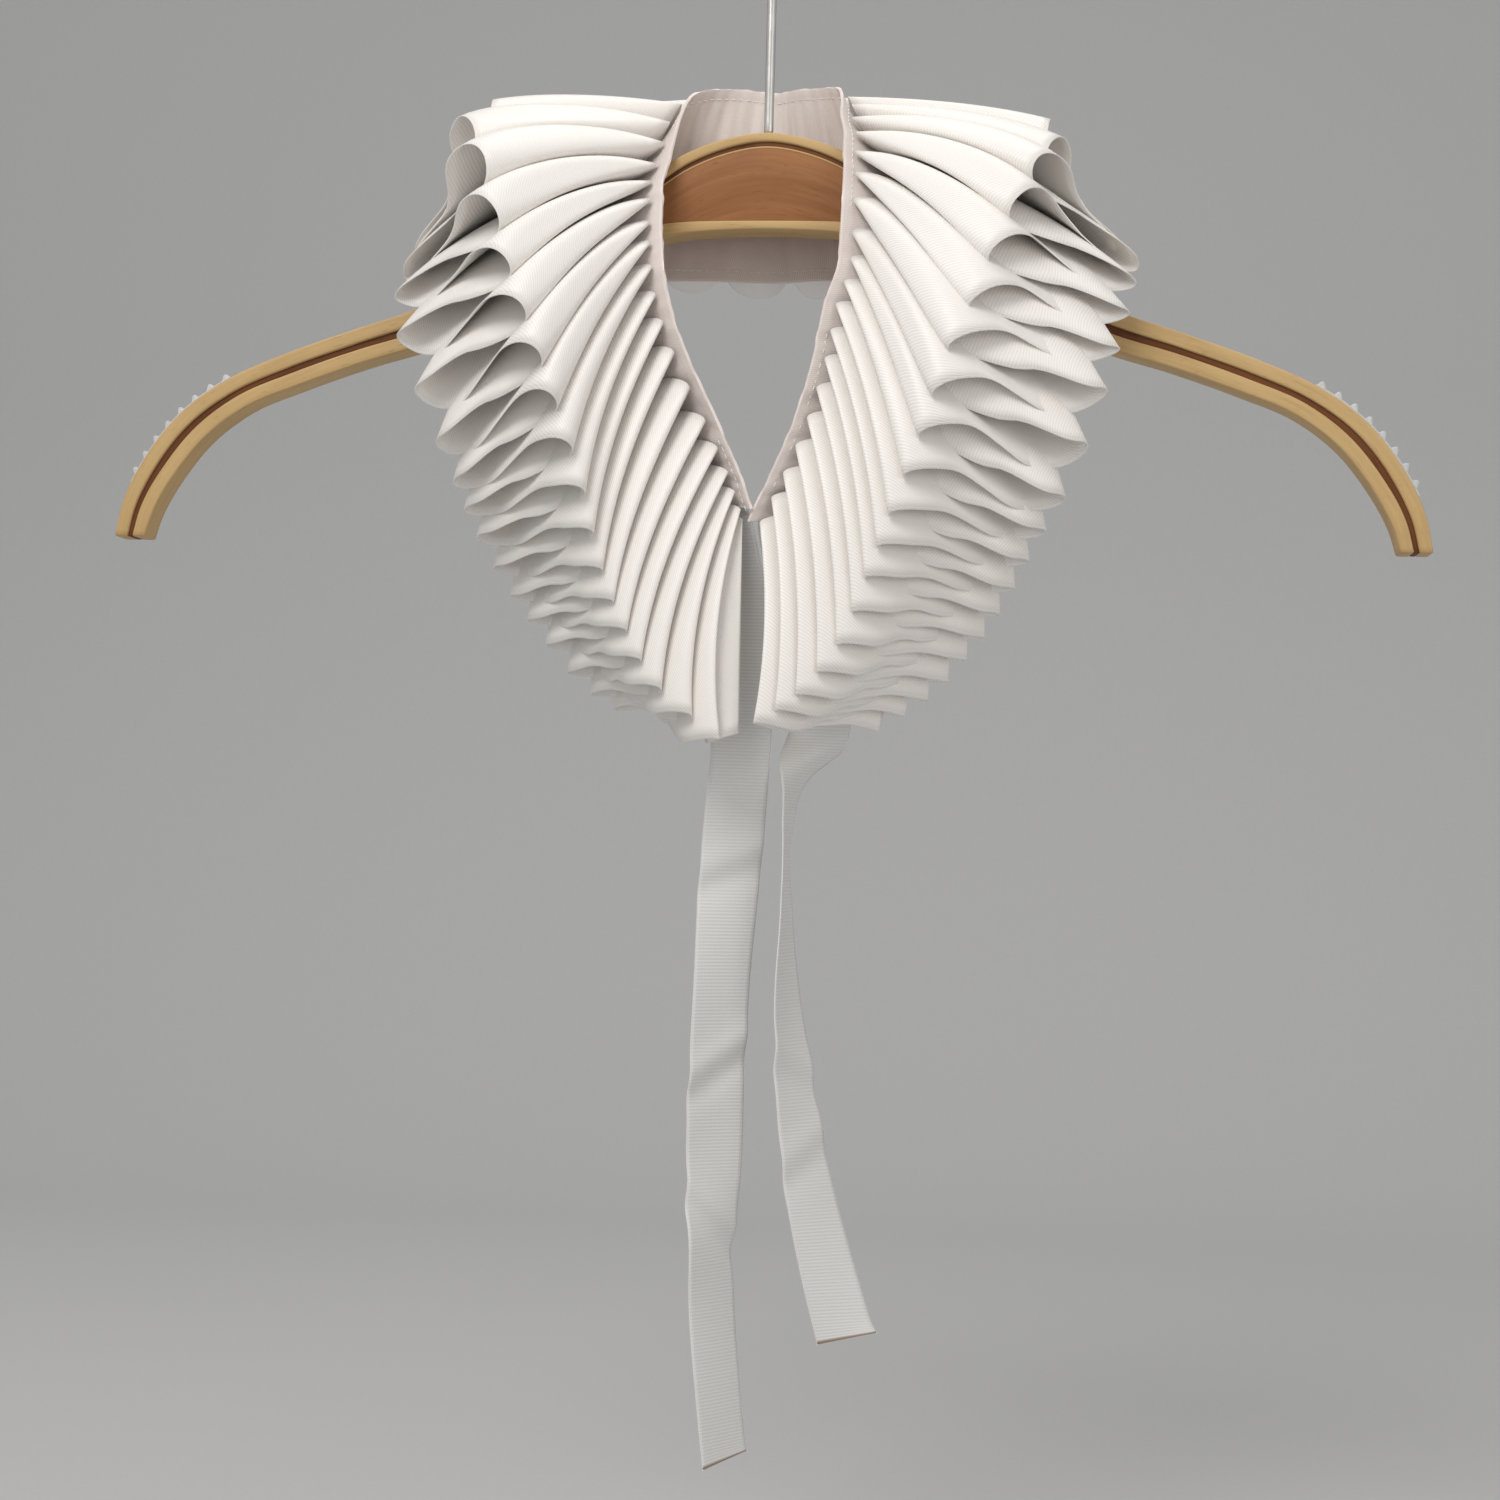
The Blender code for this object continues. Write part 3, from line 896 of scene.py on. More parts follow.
@dataclass
class Ruffle:
    """The ribbon folded into figure-of-eight sets and sewn to the band."""

    lines: CollarLines
    columns_in_set: int = 64
    rows: int = 19
    loop_at_neck: float = 0.14
    loop_at_rim: float = 0.31
    over_edge: float = 0.028
    lift: float = 5.0 * MM
    wall: float = 0.35 * MM
    wander: float = 0.06
    taut_loop: float = 0.025
    taut_face: float = 0.8
    taut_begins: Pair = (4.5, 7.0)
    taut_ends: Pair = (11.5, 14.5)
    squared_by: Pair = (0.5, 0.85)
    bulge: float = 2.0 * MM
    guide_step: float = 0.05
    guide_from: float = -1.0
    end_neck: Triple = (-1.0, -41.0, -134.0)
    end_rim: Triple = (1.0, -54.0, -203.0)
    seam: float = 0.0022
    lengths: tuple[Length, ...] = (
        Length("cloth_ruffle_left", "ruffle_left", 0.87, 17.75, panel=0.3, lowest=0.9),
        Length("cloth_ruffle_back", "ruffle_back", 17.75, 27.25),
        Length("cloth_ruffle_right", "ruffle_right", 27.25, 46.42, highest=46.12),
    )

    def guide(self) -> bpy.types.Mesh:
        """A row of points that carries the guide lines for the tree to read.

        Returns:
            The guide mesh, with one named vector for each line.
        """
        sets = np.arange(self.guide_from, self.lines.sets - self.guide_from, self.guide_step)
        mesh = mesh_of("ruffle_guide", self.lines.line("edge", sets))
        for name in ("edge", "hem", "tip", "heel"):
            note(mesh, name, self.lines.line(name, sets))
        note(mesh, "edge_out", self.lines.outward("edge", sets) * 1e4)
        note(mesh, "hem_out", self.lines.outward("hem", sets) * 1e4)
        return mesh

    def recipe(self, length: Length) -> Recipe:
        """The tree that folds a flat grid into one length of the ruffle.

        Args:
            length: Which length.

        Returns:
            The tree with its inputs set.
        """
        columns = int((length.last - length.first + length.panel) * self.columns_in_set)
        recipe = Recipe(
            "fold_" + length.node,
            {
                "First set": length.first + self.seam,
                "Last set": length.last - self.seam,
                "End panel": length.panel,
                "Columns": columns,
                "Rows": self.rows,
                "Loop at neck": self.loop_at_neck,
                "Loop at rim": self.loop_at_rim,
                "Lift": self.lift,
                "Over the edge": self.over_edge,
                "Lowest place": length.lowest,
                "Highest place": length.highest,
                "Wander": self.wander,
                "Taut loop": self.taut_loop,
                "Taut face": self.taut_face,
                "Middle back": self.lines.sets / 2,
                "Seed": 4.0,
                "Material": TAFFETA.material(),
            },
        )
        graph = recipe.graph
        given = recipe.given
        sockets = {"Size X": 1.0, "Size Y": 1.0, "Vertices X": given("Columns"), "Vertices Y": given("Rows")}
        grid = graph.get("GeometryNodeMeshGrid", sockets)
        cell_x, cell_y, _ = graph.parts(graph.get("GeometryNodeInputPosition"))
        row = cell_y + 0.5
        start = given("First set") - given("End panel")
        asked = start + (given("Last set") - start) * (cell_x + 0.5)
        sets = graph.maths("MAXIMUM", asked, given("First set"))
        panel = graph.maths("MINIMUM", (sets - asked) / (given("End panel") + 0.001), 1.0)

        turn = sets * (2 * math.pi)
        share = graph.maths("COSINE", turn) * 0.5 + 0.5
        drawn = graph.joined(sets * 1.9, row * 0.8, 0.0)
        sockets = {"Vector": drawn, "W": given("Seed"), "Scale": 1.0, "Detail": 1.0}
        wander = graph.get("ShaderNodeTexNoise", sockets, noise_dimensions="4D") - 0.5
        swing = graph.maths("SINE", turn * 2)
        from_back = graph.maths("ABSOLUTE", sets - given("Middle back"))
        taut = graph.ramp(from_back, *self.taut_begins) * (1 - graph.ramp(from_back, *self.taut_ends))
        open_rim = given("Loop at rim") + taut * given("Taut loop")
        pinched = (1 - row) ** (taut * 4 + 3)
        open_neck = open_rim.mixed(given("Loop at neck"), pinched)
        drift = wander * given("Wander") * (row * 1.4 + 0.2)
        lowest, highest = given("Lowest place"), given("Highest place")
        at_neck, at_rim = (
            graph.maths("MINIMUM", graph.maths("MAXIMUM", sets + swing * opened + drift, lowest), highest)
            for opened in (open_neck, open_rim)
        )

        hollow = row * (1 - row) * 4
        flat_face = 1 - (1 - share) ** (taut * hollow * given("Taut face") + 1)
        reach = flat_face * (given("Over the edge") + 1)
        neck = self.read(recipe, "hem", at_neck).mixed(self.read(recipe, "edge", at_neck), reach)
        rim = self.read(recipe, "heel", at_rim).mixed(self.read(recipe, "tip", at_rim), flat_face)
        front, back = graph.maths("FLOOR", sets + 0.5), graph.maths("FLOOR", sets) + 0.5
        rim = self.squared(recipe, rim, ("edge", "tip"), front, graph.ramp(share, *self.squared_by))
        rim = self.squared(recipe, rim, ("hem", "heel"), back, graph.ramp(1 - share, *self.squared_by))
        out = self.read(recipe, "hem_out", sets).mixed(self.read(recipe, "edge_out", sets), share)
        out = graph.maths("NORMALIZE", out)
        strip = neck.mixed(rim, row) + out * (hollow * given("Lift"))

        end_neck, end_rim = (np.array(end) * MM + BOW_TOP for end in (self.end_neck, self.end_rim))
        slit = graph.joined(*end_neck).mixed(graph.joined(*end_rim), row)
        bulge = graph.joined(0.0, -self.bulge, 0.0) * (panel * (1 - panel) * 4 * row)
        place = strip.mixed(slit, panel) + bulge
        recipe.finish(graph.get("GeometryNodeSetPosition", {"Geometry": grid, "Position": place}))
        return recipe

    def squared(self, recipe: Recipe, rim: Term, names: tuple[str, str], fold: Term, share: Term) -> Term:
        """Moves the rim along the fold's own direction until it stands square to it.

        Args:
            recipe: The tree.
            rim: The rim's point.
            names: The fold's lines at the neck and at the rim.
            fold: The fold's middle, in sets.
            share: How much of the move is made.

        Returns:
            The moved point.
        """
        graph = recipe.graph
        end = self.read(recipe, names[1], fold)
        along = graph.maths("NORMALIZE", end - self.read(recipe, names[0], fold))
        past = graph.get("ShaderNodeVectorMath", {0: rim - end, 1: along}, "Value", operation="DOT_PRODUCT")
        return rim - along * (past * share)

    def read(self, recipe: Recipe, name: str, sets: Term) -> Term:
        """A guide vector at a place, straight between the guide's points.

        Args:
            recipe: The tree.
            name: The guide vector's name.
            sets: The place, in sets.

        Returns:
            The vector there.
        """
        graph = recipe.graph
        place = (sets - self.guide_from) / self.guide_step
        low = graph.maths("FLOOR", place)
        sockets = {"Geometry": recipe.given("Geometry"), "Value": recipe.named(name)}
        settings = {"data_type": "FLOAT_VECTOR", "clamp": True}
        before, after = (
            graph.get("GeometryNodeSampleIndex", sockets | {"Index": low + step}, **settings)
            for step in (0, 1)
        )
        return before.mixed(after, place - low)

    def build(self) -> None:
        """Folds the three lengths and gives each its wall."""
        for length in self.lengths:
            mesh = self.recipe(length).mesh(self.guide())
            mesh.name = length.name
            strip = points_of(mesh).reshape(-1, self.rows, 3)
            across = travelled(strip, 1)
            middle = travelled(strip)[:, [self.rows // 2]].repeat(self.rows, axis=1)
            note(mesh, "threads", np.stack([middle, across, across[:, -1:] - across], axis=2))
            size = cloth_size(mesh, strip)
            piece = shown(length.name, mesh, TAFFETA, "ruffle_taffeta")
            thicken(piece, self.wall)
            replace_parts(piece, length.node)
            log.info("%s: %.3f by %.3f m", length.name, *size)


@dataclass
class Stitching:
    """A row of short stitches or beads along a line."""

    name: str
    pitch: float
    long: float
    thick: float
    segments: int = 6
    rings: int = 4

    def mesh(self, line: np.ndarray, finish: Finish) -> bpy.types.Mesh:
        """Sets the stitches along a line.

        Args:
            line: The points that the row follows.
            finish: The material of the thread.

        Returns:
            The row of stitches as one mesh.
        """
        half = (self.thick / 2, self.thick / 2, self.long / 2)
        recipe = Recipe(self.name, {"Pitch": self.pitch, "Stitch": half, "Material": finish.material()})
        graph = recipe.graph
        curve = graph.get("GeometryNodeMeshToCurve", {0: recipe.given("Geometry")})
        sockets = {"Curve": curve, "Length": recipe.given("Pitch")}
        even = graph.get("GeometryNodeResampleCurve", sockets, mode="LENGTH")
        sockets = {"Segments": self.segments, "Rings": self.rings, "Radius": 1.0}
        bead = graph.get("GeometryNodeMeshUVSphere", sockets)
        sockets = {"Vector": graph.get("GeometryNodeInputTangent")}
        turned = graph.get("FunctionNodeAlignRotationToVector", sockets, axis="Z")
        recipe.finish_copies(even, bead, turned, "Stitch")
        guide = bpy.data.meshes.new(self.name)
        edges = [(i, i + 1) for i in range(len(line) - 1)]
        guide.from_pydata(line.tolist(), edges, [])
        return recipe.mesh(guide)


def merged(name: str, meshes: Sequence[bpy.types.Mesh]) -> bpy.types.Mesh:
    """Joins meshes of one material into one.

    Args:
        name: The new mesh's name.
        meshes: The meshes.

    Returns:
        The joined mesh.
    """
    points, faces, first = [], [], 0
    for mesh in meshes:
        points.append(points_of(mesh))
        faces += [tuple(first + v for v in face.vertices) for face in mesh.polygons]
        first += len(mesh.vertices)
    joined = mesh_of(name, np.concatenate(points), faces)
    joined.materials.append(meshes[0].materials[0])
    return joined


@dataclass
class Neckband:
    """The straight satin band, folded and stitched along both long edges."""

    lines: CollarLines
    from_ruffle: float = 1.25 * MM
    cad_wall: float = 1.2 * MM
    wall: float = 1.0 * MM
    thin: float = 0.6
    bare_edge: float = 5.0 * MM
    bare_front: float = 1.5 * MM
    bare_back: float = 8.0 * MM
    back_half: float = 5.0
    first: float = 1.0
    step: float = 0.06
    across: int = 34
    turning: float = 4.6 * MM
    crease: float = 1.0 * MM
    stitch_in: float = 3.7 * MM
    stitch_sink: float = 0.34
    dent: float = 0.9
    dent_half: float = 0.5 * MM
    fold_soft: float = 0.4 * MM
    rounding: float = 0.22 * MM
    rounded_from: float = 55.0
    waves: tuple[Triple, ...] = ((1.9, 0.9, 0.4), (3.1, -1.3, 2.0), (5.3, 1.7, 4.4), (8.9, -0.8, 1.2))

    def surface(self, share_out: np.ndarray, places: np.ndarray) -> np.ndarray:
        """Points of the band at one share of its whole width, from the edge side at 0.

        Args:
            share_out: Share of the whole width at each place.
            places: Places, in sets.

        Returns:
            One point for each place.
        """
        edge, hem = self.lines.line("edge", places), self.lines.line("hem", places)
        width = np.linalg.norm(hem - edge, axis=1)
        from_back = np.clip((np.abs(places - self.lines.sets / 2) - self.back_half) / 2, 0, 1)
        bare = self.bare_back + (self.bare_front - self.bare_back) * from_back
        distance = -self.bare_edge + share_out * (width + self.bare_edge + bare)
        towards_edge = 1 - distance / width
        share = np.clip(towards_edge, 0, 1)[:, None]
        out = share * self.lines.outward("edge", places) + (1 - share) * self.lines.outward("hem", places)
        flat = edge + (hem - edge) * (1 - towards_edge)[:, None]
        return flat - unit(out) * (self.from_ruffle + self.cad_wall / 2)

    def wrinkles(self, places: np.ndarray, share: np.ndarray, points: np.ndarray) -> np.ndarray:
        """Depth of the soft wrinkles, less where the band lies on the bow.

        Args:
            places: Places of the grid, in sets.
            share: Share of the width at each.
            points: The band's points.

        Returns:
            The depth at each point, in metres.
        """
        waves = [np.sin(along * places + across * share * 3 + phase) for along, across, phase in self.waves]
        depth = sum(waves) / len(waves)
        clear = np.clip((np.abs(points[..., 1]) / MM - 8) / 6, 0.15, 1)
        middle = np.sin(np.pi * share) ** 0.5
        return depth * clear * middle * self.crease

    def build(self) -> None:
        """Builds the band, its folded edges and its two rows of stitches."""
        places = np.arange(self.first, self.lines.sets - self.first + self.step / 2, self.step)
        shares = 0.5 - 0.5 * np.cos(np.linspace(0, np.pi, self.across))
        grid = np.stack([self.surface(np.full(len(places), s), places) for s in shares], axis=1)
        normals = unit(np.cross(np.gradient(grid, axis=0), np.gradient(grid, axis=1)))
        place_grid, share_grid = np.meshgrid(places, shares, indexing="ij")
        grid = grid + normals * self.wrinkles(place_grid, share_grid, grid)[..., None]
        mesh = mesh_of("cloth_neckband", grid, grid_faces(len(places), self.across))
        across = travelled(grid, 1)
        to_edge = np.minimum(across, across[:, -1:] - across)
        along = travelled(grid[:, self.across // 2])[:, None].repeat(self.across, axis=1)
        note(mesh, "threads", np.stack([along, across, to_edge], axis=2))
        size = cloth_size(mesh, grid)
        band = shown("cloth_neckband", mesh, SATIN, "neckband_satin")
        group = band.vertex_groups.new(name="folded")
        folded = np.clip((self.turning - to_edge) / self.fold_soft, 0, 1) * (1 - self.thin) + self.thin
        folded = np.where(np.abs(to_edge - self.stitch_in) < self.dent_half, self.thin * self.dent, folded)
        for index, weight in enumerate(folded.ravel()):
            group.add([index], float(weight), "REPLACE")
        wall = thicken(band, self.wall)
        wall.vertex_group = "folded"
        round_off = band.modifiers.new("round", "BEVEL")
        round_off.width = self.rounding
        round_off.segments = 2
        round_off.limit_method = "ANGLE"
        round_off.angle_limit = math.radians(self.rounded_from)

        stitch = Stitching("band_stitch", pitch=2.6 * MM, long=2.0 * MM, thick=0.34 * MM)
        rows = []
        for side in (0, -1):
            inside = np.abs(across - across[:, [side]])
            at = np.arange(len(grid)), np.abs(inside - self.stitch_in).argmin(axis=1)
            for face in (1, -1):
                line = grid[at] + normals[at] * face * self.wall * self.stitch_sink
                rows.append(stitch.mesh(line, THREAD))
        stitches = shown("band_stitches", merged("band_stitches", rows), THREAD, "neckband_satin")
        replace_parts(band, "neckband")
        log.info("cloth_neckband: %.3f by %.3f m", *size)


@dataclass
class Tie:
    """One flat woven ribbon that hangs from the band's front end."""

    side: Side
    rows: tuple[TieRow, ...]
    creases: tuple[Crease, ...]
    width: float = 20.0 * MM
    wall: float = 0.45 * MM
    steps: int = 300
    columns: int = 15
    crease_reach: float = 4.5
    cut_slant: float = 3.0 * MM
    cut_reach: float = 9.0 * MM

    def build(self) -> None:
        """Builds the ribbon with its creases, slanted cut end and picot edges."""
        name = f"ribbon_tie_{self.side.name.lower()}"
        node = f"tie_{self.side.name.lower()}"
        knots = np.cumsum([0] + [abs(b.z - a.z) for a, b in zip(self.rows, self.rows[1:])])
        at = np.linspace(0, knots[-1], self.steps)
        middle = smooth_curve(knots, [(r.x, r.y, r.z) for r in self.rows], at) * MM + BOW_TOP
        turn = np.radians(smooth_curve(knots, [(r.turn,) for r in self.rows], at)[:, 0])
        half = np.stack([np.cos(turn), np.sin(turn), 0 * turn], axis=1) * self.width / 2
        u = np.linspace(-1, 1, self.columns)
        grid = middle[:, None] + half[:, None] * u[:, None]
        ahead = unit(np.gradient(middle, axis=0))
        face = unit(np.cross(ahead, half))[:, None]
        height = (grid[..., 2] - BOW_TOP[2]) / MM
        depth = np.zeros_like(height)
        for crease in self.creases:
            away = height - crease.z - crease.slant * u * self.width / 2 / MM
            away = away / self.crease_reach
            depth += crease.depth * away * np.exp(0.5 - 0.5 * away**2)
        curl = 0.5 * u**2 * np.sin(at / 23.0 + self.side.value)[:, None]
        grid = grid + face * ((depth + curl) * MM)[..., None]
        near_end = np.clip(1 - (at[-1] - at) * MM / self.cut_reach, 0, 1)[:, None]
        grid[..., 2] += near_end**2 * self.cut_slant * (u + 1) / 2
        mesh = mesh_of(name, grid, grid_faces(self.steps, self.columns))
        along = travelled(middle)[:, None].repeat(self.columns, axis=1)
        across = ((u + 1) / 2 * self.width)[None].repeat(self.steps, axis=0)
        note(mesh, "threads", np.stack([along, across, np.minimum(across, self.width - across)], axis=2))
        note(mesh, "cut_end", np.stack([along[-1:] - along, across, across], axis=2))
        size = cloth_size(mesh, grid)
        ribbon = shown(name, mesh, RIBBON, "tie_ribbon")
        thicken(ribbon, self.wall)
        beads = Stitching(node + "_picot", pitch=0.85 * MM, long=0.55 * MM, thick=0.5 * MM)
        edges = [beads.mesh(grid[:, side], THREAD) for side in (0, -1)]
        picots = shown(f"picots_{node}", merged(f"picots_{node}", edges), THREAD, "tie_ribbon")
        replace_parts(ribbon, node)
        log.info("%s: %.3f by %.3f m", name, *size)


@dataclass
class Hanger:
    """The laminated bow, its wire hook and its two clear toothed grips."""

    depth: float = 12.0 * MM
    core_depth: float = 10.0 * MM
    ply_centre: float = 3.0 * MM
    ply_arm: float = 4.9 * MM
    arm_begins: float = 58.0 * MM
    stations: int = 121
    arris: float = 0.7 * MM
    line_below: float = 1.5 * MM
    line_width: float = 0.55 * MM
    line_wider: float = 0.5 * MM
    panel_wider: float = 0.3 * MM
    panel_least: float = 0.6 * MM
    core_arris: float = 0.1 * MM
    panel_arris: float = 0.12 * MM
    wire: float = 1.6 * MM
    hook_radius: float = 19.0 * MM
    hook_neck: float = 8.0 * MM
    hook_end: float = 200.0
    grip_width: float = 8.0 * MM
    grip_base: float = 0.9 * MM
    grip_arris: float = 0.25 * MM
    teeth: int = 8
    tooth: float = 2.2 * MM
    grip_from: float = 0.745
    grip_to: float = 0.93

    def __post_init__(self) -> None:
        """Reads the bow's top and bottom lines from tip to tip."""
        top = np.array([(row.top_x, row.top_z) for row in BOW]) * MM
        bottom = np.array([(row.bottom_x, row.bottom_z) for row in BOW]) * MM
        knots = travelled(top)
        at = np.linspace(0, knots[-1], self.stations)
        spread = np.concatenate([[-knots[1]], knots])
        halves = [
            smooth_curve(spread, np.concatenate([line[1:2] * (-1, 1), line]), at)
            for line in (top, bottom)
        ]
        self.top, self.bottom = (np.concatenate([half[:0:-1] * (-1, 1), half]) for half in halves)
        self.distance = np.concatenate([-at[:0:-1], at])

    def bar(
        self, upper: np.ndarray, lower: np.ndarray, along: np.ndarray, depth: float, arris: float
    ) -> bpy.types.Mesh:
        """A bar with softened edges between two lines.

        Args:
            upper: Its upper line, x and z.
            lower: Its lower line, x and z.
            along: Distance of each station along the bow.
            depth: Its depth along Y.
            arris: How far its edges are rounded.

        Returns:
            The closed mesh, with the wood's own directions as the attribute grain.
        """
        height = np.linalg.norm(lower - upper, axis=1)
        corners = ((0, -1, 90), (1, -1, 180), (1, 1, 270), (0, 1, 0))
        sections, grain = [], []
        ends = (0, 0, *range(1, len(upper) - 1), len(upper) - 1, len(upper) - 1)
        for order, station in enumerate(ends):
            inset = arris * 0.6 if order in (0, len(ends) - 1) else 0.0
            shift = arris * 0.5 * (1 if order == 1 else -1 if order == len(ends) - 2 else 0)
            ahead = upper[min(station + 1, len(upper) - 1)] - upper[max(station - 1, 0)]
            ahead = ahead / np.linalg.norm(ahead)
            radius = min(arris, height[station] * 0.3)
            down = (lower[station] - upper[station]) / height[station]
            for low, back, start in corners:
                for angle in np.radians(np.linspace(start, start + 90, 4)):
                    v = low * height[station] + (radius if not low else -radius) + inset * (1 - 2 * low)
                    y = back * (depth / 2 - radius - inset)
                    v -= radius * math.sin(angle)
                    y += radius * math.cos(angle)
                    x, z = upper[station] + down * v + ahead * shift
                    sections.append((x, y, z))
                    grain.append((along[station], y, v))
        mesh = mesh_of("bar", np.array(sections) + BOW_TOP, tube_faces(len(ends), len(sections) // len(ends)))
        note(mesh, "grain", np.array(grain))
        return mesh

    def bow(self) -> None:
        """The light plies, the dark core between them, and the centre panel with its light line."""
        through = self.bottom - self.top
        height = np.linalg.norm(through, axis=1)
        grown = np.clip(np.abs(self.distance) / self.arm_begins, 0, 1)
        ply = self.ply_centre + (self.ply_arm - self.ply_centre) * grown**2 * (3 - 2 * grown)
        ply = np.minimum(ply, height * 0.42)
        share, gap = (ply / height)[:, None], (SEAM * 0.2 / height)[:, None]
        upper = self.bar(self.top, self.top + through * share, self.distance, self.depth, self.arris)
        lower = self.bar(self.bottom - through * share, self.bottom, self.distance, self.depth, self.arris)
        high, low = self.top + through * (share + gap), self.bottom - through * (share + gap)
        core = self.bar(high, low, self.distance, self.core_depth, self.core_arris)
        for name, mesh, finish, slot, node in (
            ("bow_upper_ply", upper, BIRCH, "light_birch", "bow_upper"),
            ("bow_lower_ply", lower, BIRCH, "light_birch", "bow_lower"),
            ("bow_core_ply", core, BROWN, "brown_ply", "bow_core"),
        ):
            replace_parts(shown(name, mesh, finish, slot), node)
        down = unit(low - high)
        core_height = np.linalg.norm(low - high, axis=1)
        wide = np.flatnonzero(core_height > self.line_below + self.line_width + self.panel_least)
        part = slice(wide[0], wide[-1] + 1)
        line_top = high[part] + down[part] * self.line_below
        line_low = line_top + down[part] * self.line_width
        along = self.distance[part]
        inlay = self.bar(line_top, line_low, along, self.core_depth + self.line_wider, self.core_arris)
        shown("bow_light_line", inlay, BIRCH, "light_birch")
        panel = self.bar(line_low, low[part], along, self.core_depth + self.panel_wider, self.panel_arris)
        shown("bow_panel", panel, PANEL, "brown_ply")

    def tube(self, route: np.ndarray, radius: float, around: int = 20) -> bpy.types.Mesh:
        """A round wire along a route in the XZ plane, with rounded ends.

        Args:
            route: Points along the wire's middle.
            radius: The wire's radius.
            around: Points round it.

        Returns:
            The closed mesh, with the attribute grain along the wire.
        """
        ahead = unit(np.gradient(route, axis=0))
        along = travelled(route)
        side = np.array([0.0, 1.0, 0.0])
        rings, grain = [], []
        angles = np.linspace(0, 2 * np.pi, around, endpoint=False)
        caps = [(0, a) for a in (80, 50, 20)] + [(i, 0) for i in range(len(route))]
        caps += [(-1, a) for a in (20, 50, 80)]
        for order, (index, cap) in enumerate(caps):
            across = np.cross(ahead[index], side)
            sign = -1 if order < 3 else 1
            swell, push = math.cos(math.radians(cap)), sign * math.sin(math.radians(cap)) * (cap > 0)
            centre = route[index] + ahead[index] * push * radius
            for a in angles:
                rings.append(centre + (across * math.cos(a) + side * math.sin(a)) * radius * swell)
                grain.append((along[index], a * radius, 0.0))
        mesh = mesh_of("wire", np.array(rings), tube_faces(len(caps), around))
        note(mesh, "grain", np.array(grain))
        return mesh

    def hook(self) -> None:
        """The wire: a straight stem, a short bend and the round hook."""
        def arc(centre: np.ndarray, radius: float, degrees: np.ndarray) -> list[np.ndarray]:
            """Points of a circle's arc."""
            return [centre + radius * np.array([math.cos(a), math.sin(a)]) for a in np.radians(degrees)]

        centre = np.array([0.0, self.wire - self.hook_radius])
        reach = self.hook_radius + self.hook_neck
        neck = np.array([self.hook_neck, centre[1] - math.sqrt(reach**2 - self.hook_neck**2)])
        meet = math.degrees(math.atan2(centre[1] - neck[1], centre[0] - neck[0]))
        route = [np.array([0.0, z]) for z in np.linspace(BOW_TOP[2] + SEAM + self.wire, neck[1], 20)[:-1]]
        route += arc(neck, self.hook_neck, np.linspace(180, meet, 14))
        route += arc(centre, self.hook_radius, np.linspace(meet - 180, self.hook_end + 3, 64)[1:])
        line = np.array([(x, 0.0, z) for x, z in route])
        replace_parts(shown("hook_wire", self.tube(line, self.wire), NICKEL, "brushed_nickel"), "hook")

    def leaf(self) -> bpy.types.Mesh:
        """One tooth: a rounded fin, steep towards the arm's root, with rounded ends across the strip.

        Returns:
            The closed mesh, one unit long.
        """
        points = []
        steps, rings = 15, 9
        profile = [(along, math.sin(math.pi * along**0.62)) for along in np.linspace(0, 1, steps) ** 1.3]
        for u in np.linspace(-1, 1, rings):
            rounded = math.sqrt(max(1 - abs(u) ** 5, 0.0)) * 0.92 + 0.08
            points += [((along - 0.5) * 1.5, u * 0.40, rise * rounded) for along, rise in profile]
        return mesh_of("leaf", np.array(points), tube_faces(rings, steps))

    def grip(self, side: Side) -> None:
        """The clear strip on one arm's outer curve with its row of teeth.

        Args:
            side: Which arm.
        """
        half = self.top[self.stations - 1 :] * (side.value, 1)
        along = self.distance[self.stations - 1 :]
        at = np.linspace(self.grip_from, self.grip_to, 49) * along[-1]
        base = smooth_curve(along, half, at)
        ahead = unit(np.gradient(base, axis=0))
        outward = np.stack([-ahead[:, 1], ahead[:, 0]], axis=1) * side.value
        low, high = base + outward * SEAM * 0.3, base + outward * self.grip_base
        order = slice(None, None, side.value)
        strip = self.bar(high[order], low[order], at[order], self.grip_width, self.grip_arris)
        name = side.name.lower()
        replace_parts(shown(f"grip_strip_{name}", strip, CLEAR, "clear_plastic"), f"grip_{name}")

        leaf = added("leaf", self.leaf())
        size = (self.tooth, self.grip_width, self.tooth)
        recipe = Recipe(f"teeth_{name}", {"Tooth": leaf, "Size": size, "Material": CLEAR.material()})
        fin = recipe.graph.get("GeometryNodeObjectInfo", {0: recipe.given("Tooth")}, "Geometry")
        axes = {0: recipe.named("out"), 1: recipe.named("ahead")}
        turned = recipe.graph.get("FunctionNodeAxesToRotation", axes)
        recipe.finish_copies(recipe.given("Geometry"), fin, turned, "Size")
        spots = np.linspace(2, len(at) - 5, self.teeth).astype(int)
        roots, out, forward = (np.insert(line[spots], 1, 0.0, axis=1) for line in (high, outward, ahead))
        guide = mesh_of("tooth_spots", roots + BOW_TOP)
        note(guide, "out", out)
        note(guide, "ahead", forward)
        teeth = recipe.mesh(guide)
        bpy.data.objects.remove(leaf)
        shown(f"grip_teeth_{name}", teeth, CLEAR, "clear_plastic")

    def build(self) -> None:
        """Builds the whole hanger."""
        self.hook()
        self.bow()
        for side in Side:
            self.grip(side)


class Lamp(NamedTuple):
    """One square soft light."""

    name: str
    place: Triple
    size: float
    power: float
    colour: Triple


